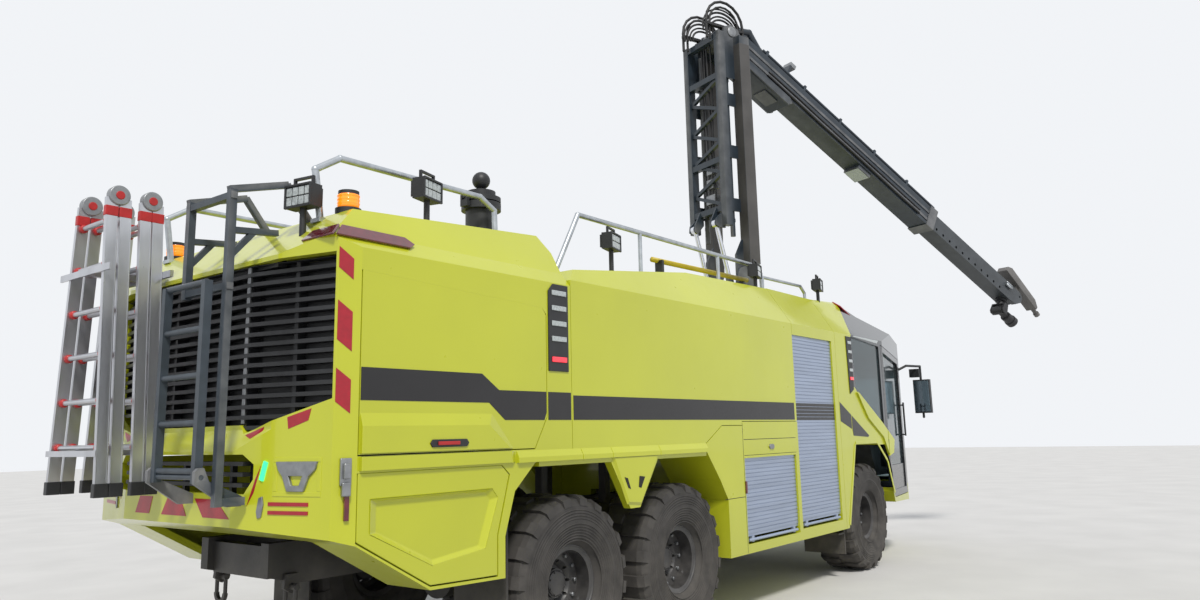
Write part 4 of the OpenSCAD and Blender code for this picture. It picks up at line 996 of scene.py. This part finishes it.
def makeLadders():
    spec = ladderSpec
    near, far = spec["rails"]
    sole, ankle = spec["shoe"]
    red = Shape("ladder_joints", "truck", "jointRed", bevel=0.004)
    feet = Shape("ladder_feet", "truck", "plasticBlack", bevel=0.004)
    heads = Shape("ladder_heads", "truck", "clipGrey", bevel=0.003)
    rungs = Shape("ladder_rungs", "truck", "ladderMetal")
    ribs = Shape("ladder_ribs", "truck", "ladderMetal", bevel=0.002)
    for x in spec["places"]:
        for i in range(spec["rungs"]):
            z = spec["firstRung"] + i * spec["step"]
            k = railY(z)
            for y, inward in ((near + k, 1), (far - k, -1)):
                red.turned([(0.029, 0.016), (0.03, 0.046), (0.022, 0.056)], (x, y, z),
                           (0, inward, 0), steps=14)
            rungs.turned([(0.0185, 0.06 - 0.365 + k), (0.0185, 0.305 - k)],
                         (x, spec["middle"], z), (0, 1, 0), steps=10)
        for y, out in ((near, -1), (far, 1)):
            feet.box((x - 0.044, y - 0.025, sole), (x + 0.044, y + 0.025, ankle))
            # the rail's two edge ribs, on its outer face
            face = y + out * 0.015
            for edge in (-0.038, 0.03):
                ribs.prism([(x + edge + wide, face - out * railY(z), z) for wide, z in
                            rect(0, spec["ribWide"], ankle, spec["ribTop"])],
                           (0, out * 0.003, 0))
            # red collars round the top of the rail
            low, high = spec["collars"]
            mid = y - out * railY((low + high) / 2)
            red.box((x - 0.042, mid - 0.02, low), (x + 0.042, mid + 0.02, high))
    for x in spec["headX"]:
        for y in spec["headY"]:
            c = (x, y, spec["headZ"])
            heads.turned([(0.066, -0.03), (0.07, -0.024), (0.07, 0.024), (0.066, 0.03)], c,
                         (0, 1, 0), steps=28)
            red.turned([(0.03, -0.036), (0.03, 0.036)], c, (0, 1, 0), steps=20)
    for s in (red, feet, heads, rungs, ribs):
        s.done()


# hoses, clamps and lines on the boom: places across the boom, heights and radii
boomPieces = {
    "skin": (0.419, 0.601, 0.2849, 0.456, 4.025), "crossPins": (0.4, 0.30, 3.85),
    "mastHoses": [(-0.1, 0.012), (-0.04, 0.014), (0.03, 0.011), (0.09, 0.014)],
    "mastFoot": 4.7, "mastStep": 0.42, "mastS": 0.186, "bends": 7,
    "bundle": [(0.2, 0.15, 0.015), (0.25, 0.2, 0.013), (0.3, 0.26, 0.016), (0.35, 0.31, 0.012)],
    "bundleTurns": (-14, 10, 40, 70, 100, 130, 160), "bundleS": 0.34, "bundleY": 0.206,
    "bundleUp": 0.06,
    "valves": [(4.9, 0.09), (5.12, 0.07), (5.32, 0.06)],
    "clamps": 5, "firstClamp": 0.78, "clampStep": 0.83,
    "clampRings": [(0.0, 0.12, 0.057), (-0.12, 0.07, 0.026), (0.11, 0.08, 0.03)],
    "lines": [(-0.186, 0.12, 0.012), (-0.19, 0.05, 0.016), (0.186, 0.1, 0.014),
              (0.06, 0.23, 0.014)], "lineFoot": 0.9, "lineStep": 0.6, "lineTop": 0.2}


def hose(name, body, points, radius):
    s = Shape(name, body, "hoseRubber", smooth=True)
    s.tube(smoothPath(points, 8), radius, 10)
    s.done()


def makeMast():
    spec = boomPieces
    z = boomSpec["footZ"] + boomSpec["lowerLen"]
    s0, s1, y0, y1, foot = spec["skin"]
    pinS, pinY, pinZ = spec["crossPins"]
    for word, sign in sides.items():
        # box beam side faces in a lighter grey than the slate: painted light, as on faces that
        # catch the light
        s = Shape(f"mast_beam_lit_skin_{word}", "lower_boom", "beamLitGrey", bevel=0.006)
        s.prism([boomPoint(along, sign * across, foot) for along, across in
                 ((s0, y0), (s1, y0), (s1, y1), (s0, y1))], (0, 0, z - 0.2 - foot))
        s.done()
    s = Shape("mast_cross_pins", "lower_boom", "clipGrey", bevel=0.002)
    for sign in (-1, 1):
        out = Vector(boomPoint(0, sign, 0)) - Vector(boomPoint(0, 0, 0))
        for height in (z, pinZ):
            s.turned([(0.075, 0.02), (0.075, 0.045), (0.05, 0.055)],
                     boomPoint(pinS, sign * pinY, height), tuple(out), steps=20)
    s.done()
    for k, (across, radius) in enumerate(spec["mastHoses"]):
        hose(f"mast_hose_{k}", "lower_boom",
             [boomPoint(spec["mastS"] + 0.005 * math.sin(j * 1.7 + k),
                        across + 0.012 * math.sin(j + k * 2),
                        spec["mastFoot"] + j * spec["mastStep"])
              for j in range(spec["bends"])], radius)
    for word, sign in sides.items():
        for k, (reach, up, radius) in enumerate(spec["bundle"]):
            turns = [math.radians(t) for t in spec["bundleTurns"]]
            hose(f"elbow_bundle_{k}_{word}", "elbow_link",
                 [boomPoint(spec["bundleS"] - reach * math.cos(t), sign * spec["bundleY"],
                            z + spec["bundleUp"] + up * math.sin(t)) for t in turns], radius)
    s = Shape("mast_valve_block", "lower_boom", "clipGrey", bevel=0.006)
    for height, half in spec["valves"]:
        s.prism([boomPoint(along, across, height) for along, across in
                 ((0.16, -half), (0.27, -half), (0.27, half), (0.16, half))], (0, 0, 0.13))
    s.done()


def upperPad(name, material, bevel, span, half, w, push):
    # a flat block across the upper boom
    s = Shape(name, "upper_boom", material, bevel)
    s.prism([upperPoint(u, across, w) for u, across in
             ((span[0], -half), (span[1], -half), (span[1], half), (span[0], half))],
            tuple(push))
    s.done()


def makeUpperBoom():
    spec = boomPieces
    top = boomSpec["lift"] + boomSpec["depth"] / 2
    low = boomSpec["lift"] - boomSpec["depth"] / 2
    s = Shape("upper_clamps", "upper_boom", "clipGrey", bevel=0.002)
    for k in range(spec["clamps"]):
        u = spec["firstClamp"] + k * spec["clampStep"]
        for across, rise, radius in spec["clampRings"]:
            s.turned([(radius, -0.014), (radius, 0.014)], upperPoint(u, across, top + rise),
                     tuple(upperWay(1, 0, 0)), steps=20)
    s.done()
    for k, (across, rise, radius) in enumerate(spec["lines"]):
        deck = top - low if rise > spec["lineTop"] else 0  # the last line runs on top
        hose(f"upper_line_{k}", "upper_boom",
             [upperPoint(spec["lineFoot"] + j * spec["lineStep"], across,
                         low + rise + 0.004 * math.sin(j * 2 + k) + deck)
              for j in range(spec["bends"])], radius)
    upperPad("boom_lamp_face", "lampFace", 0.003, (3.06, 3.32), 0.14, low - 0.064,
             upperWay(0, 0, -1) * 0.006)
    upperPad("boom_small_lamp", "clipGrey", 0.004, (1.25, 1.37), 0.08, top + 0.27,
             upperWay(0, 0, 1) * 0.07)
    s = Shape("extension_tube", "extension", "railSteel", smooth=True)
    s.tube([upperPoint(6.94, -0.17, 0.17), upperPoint(7.09, -0.17, 0.17)], 0.022, 12)
    s.tube([upperPoint(6.94, -0.165, 0.22), upperPoint(7.1, -0.165, 0.22)], 0.012, 10)
    s.done()


makeStripes()
makeRearSigns()
makeRearFittings()
print("stage: stripes, rear signs and fittings")
makeLowerDoors()
makeSidePanels()
makeCab()
print("stage: side panels and cab")
makeWheels()
makeRoof()
makeLadders()
makeMast()
makeUpperBoom()
print("stage: wheels, roof, ladders and boom")

print("stage: done")
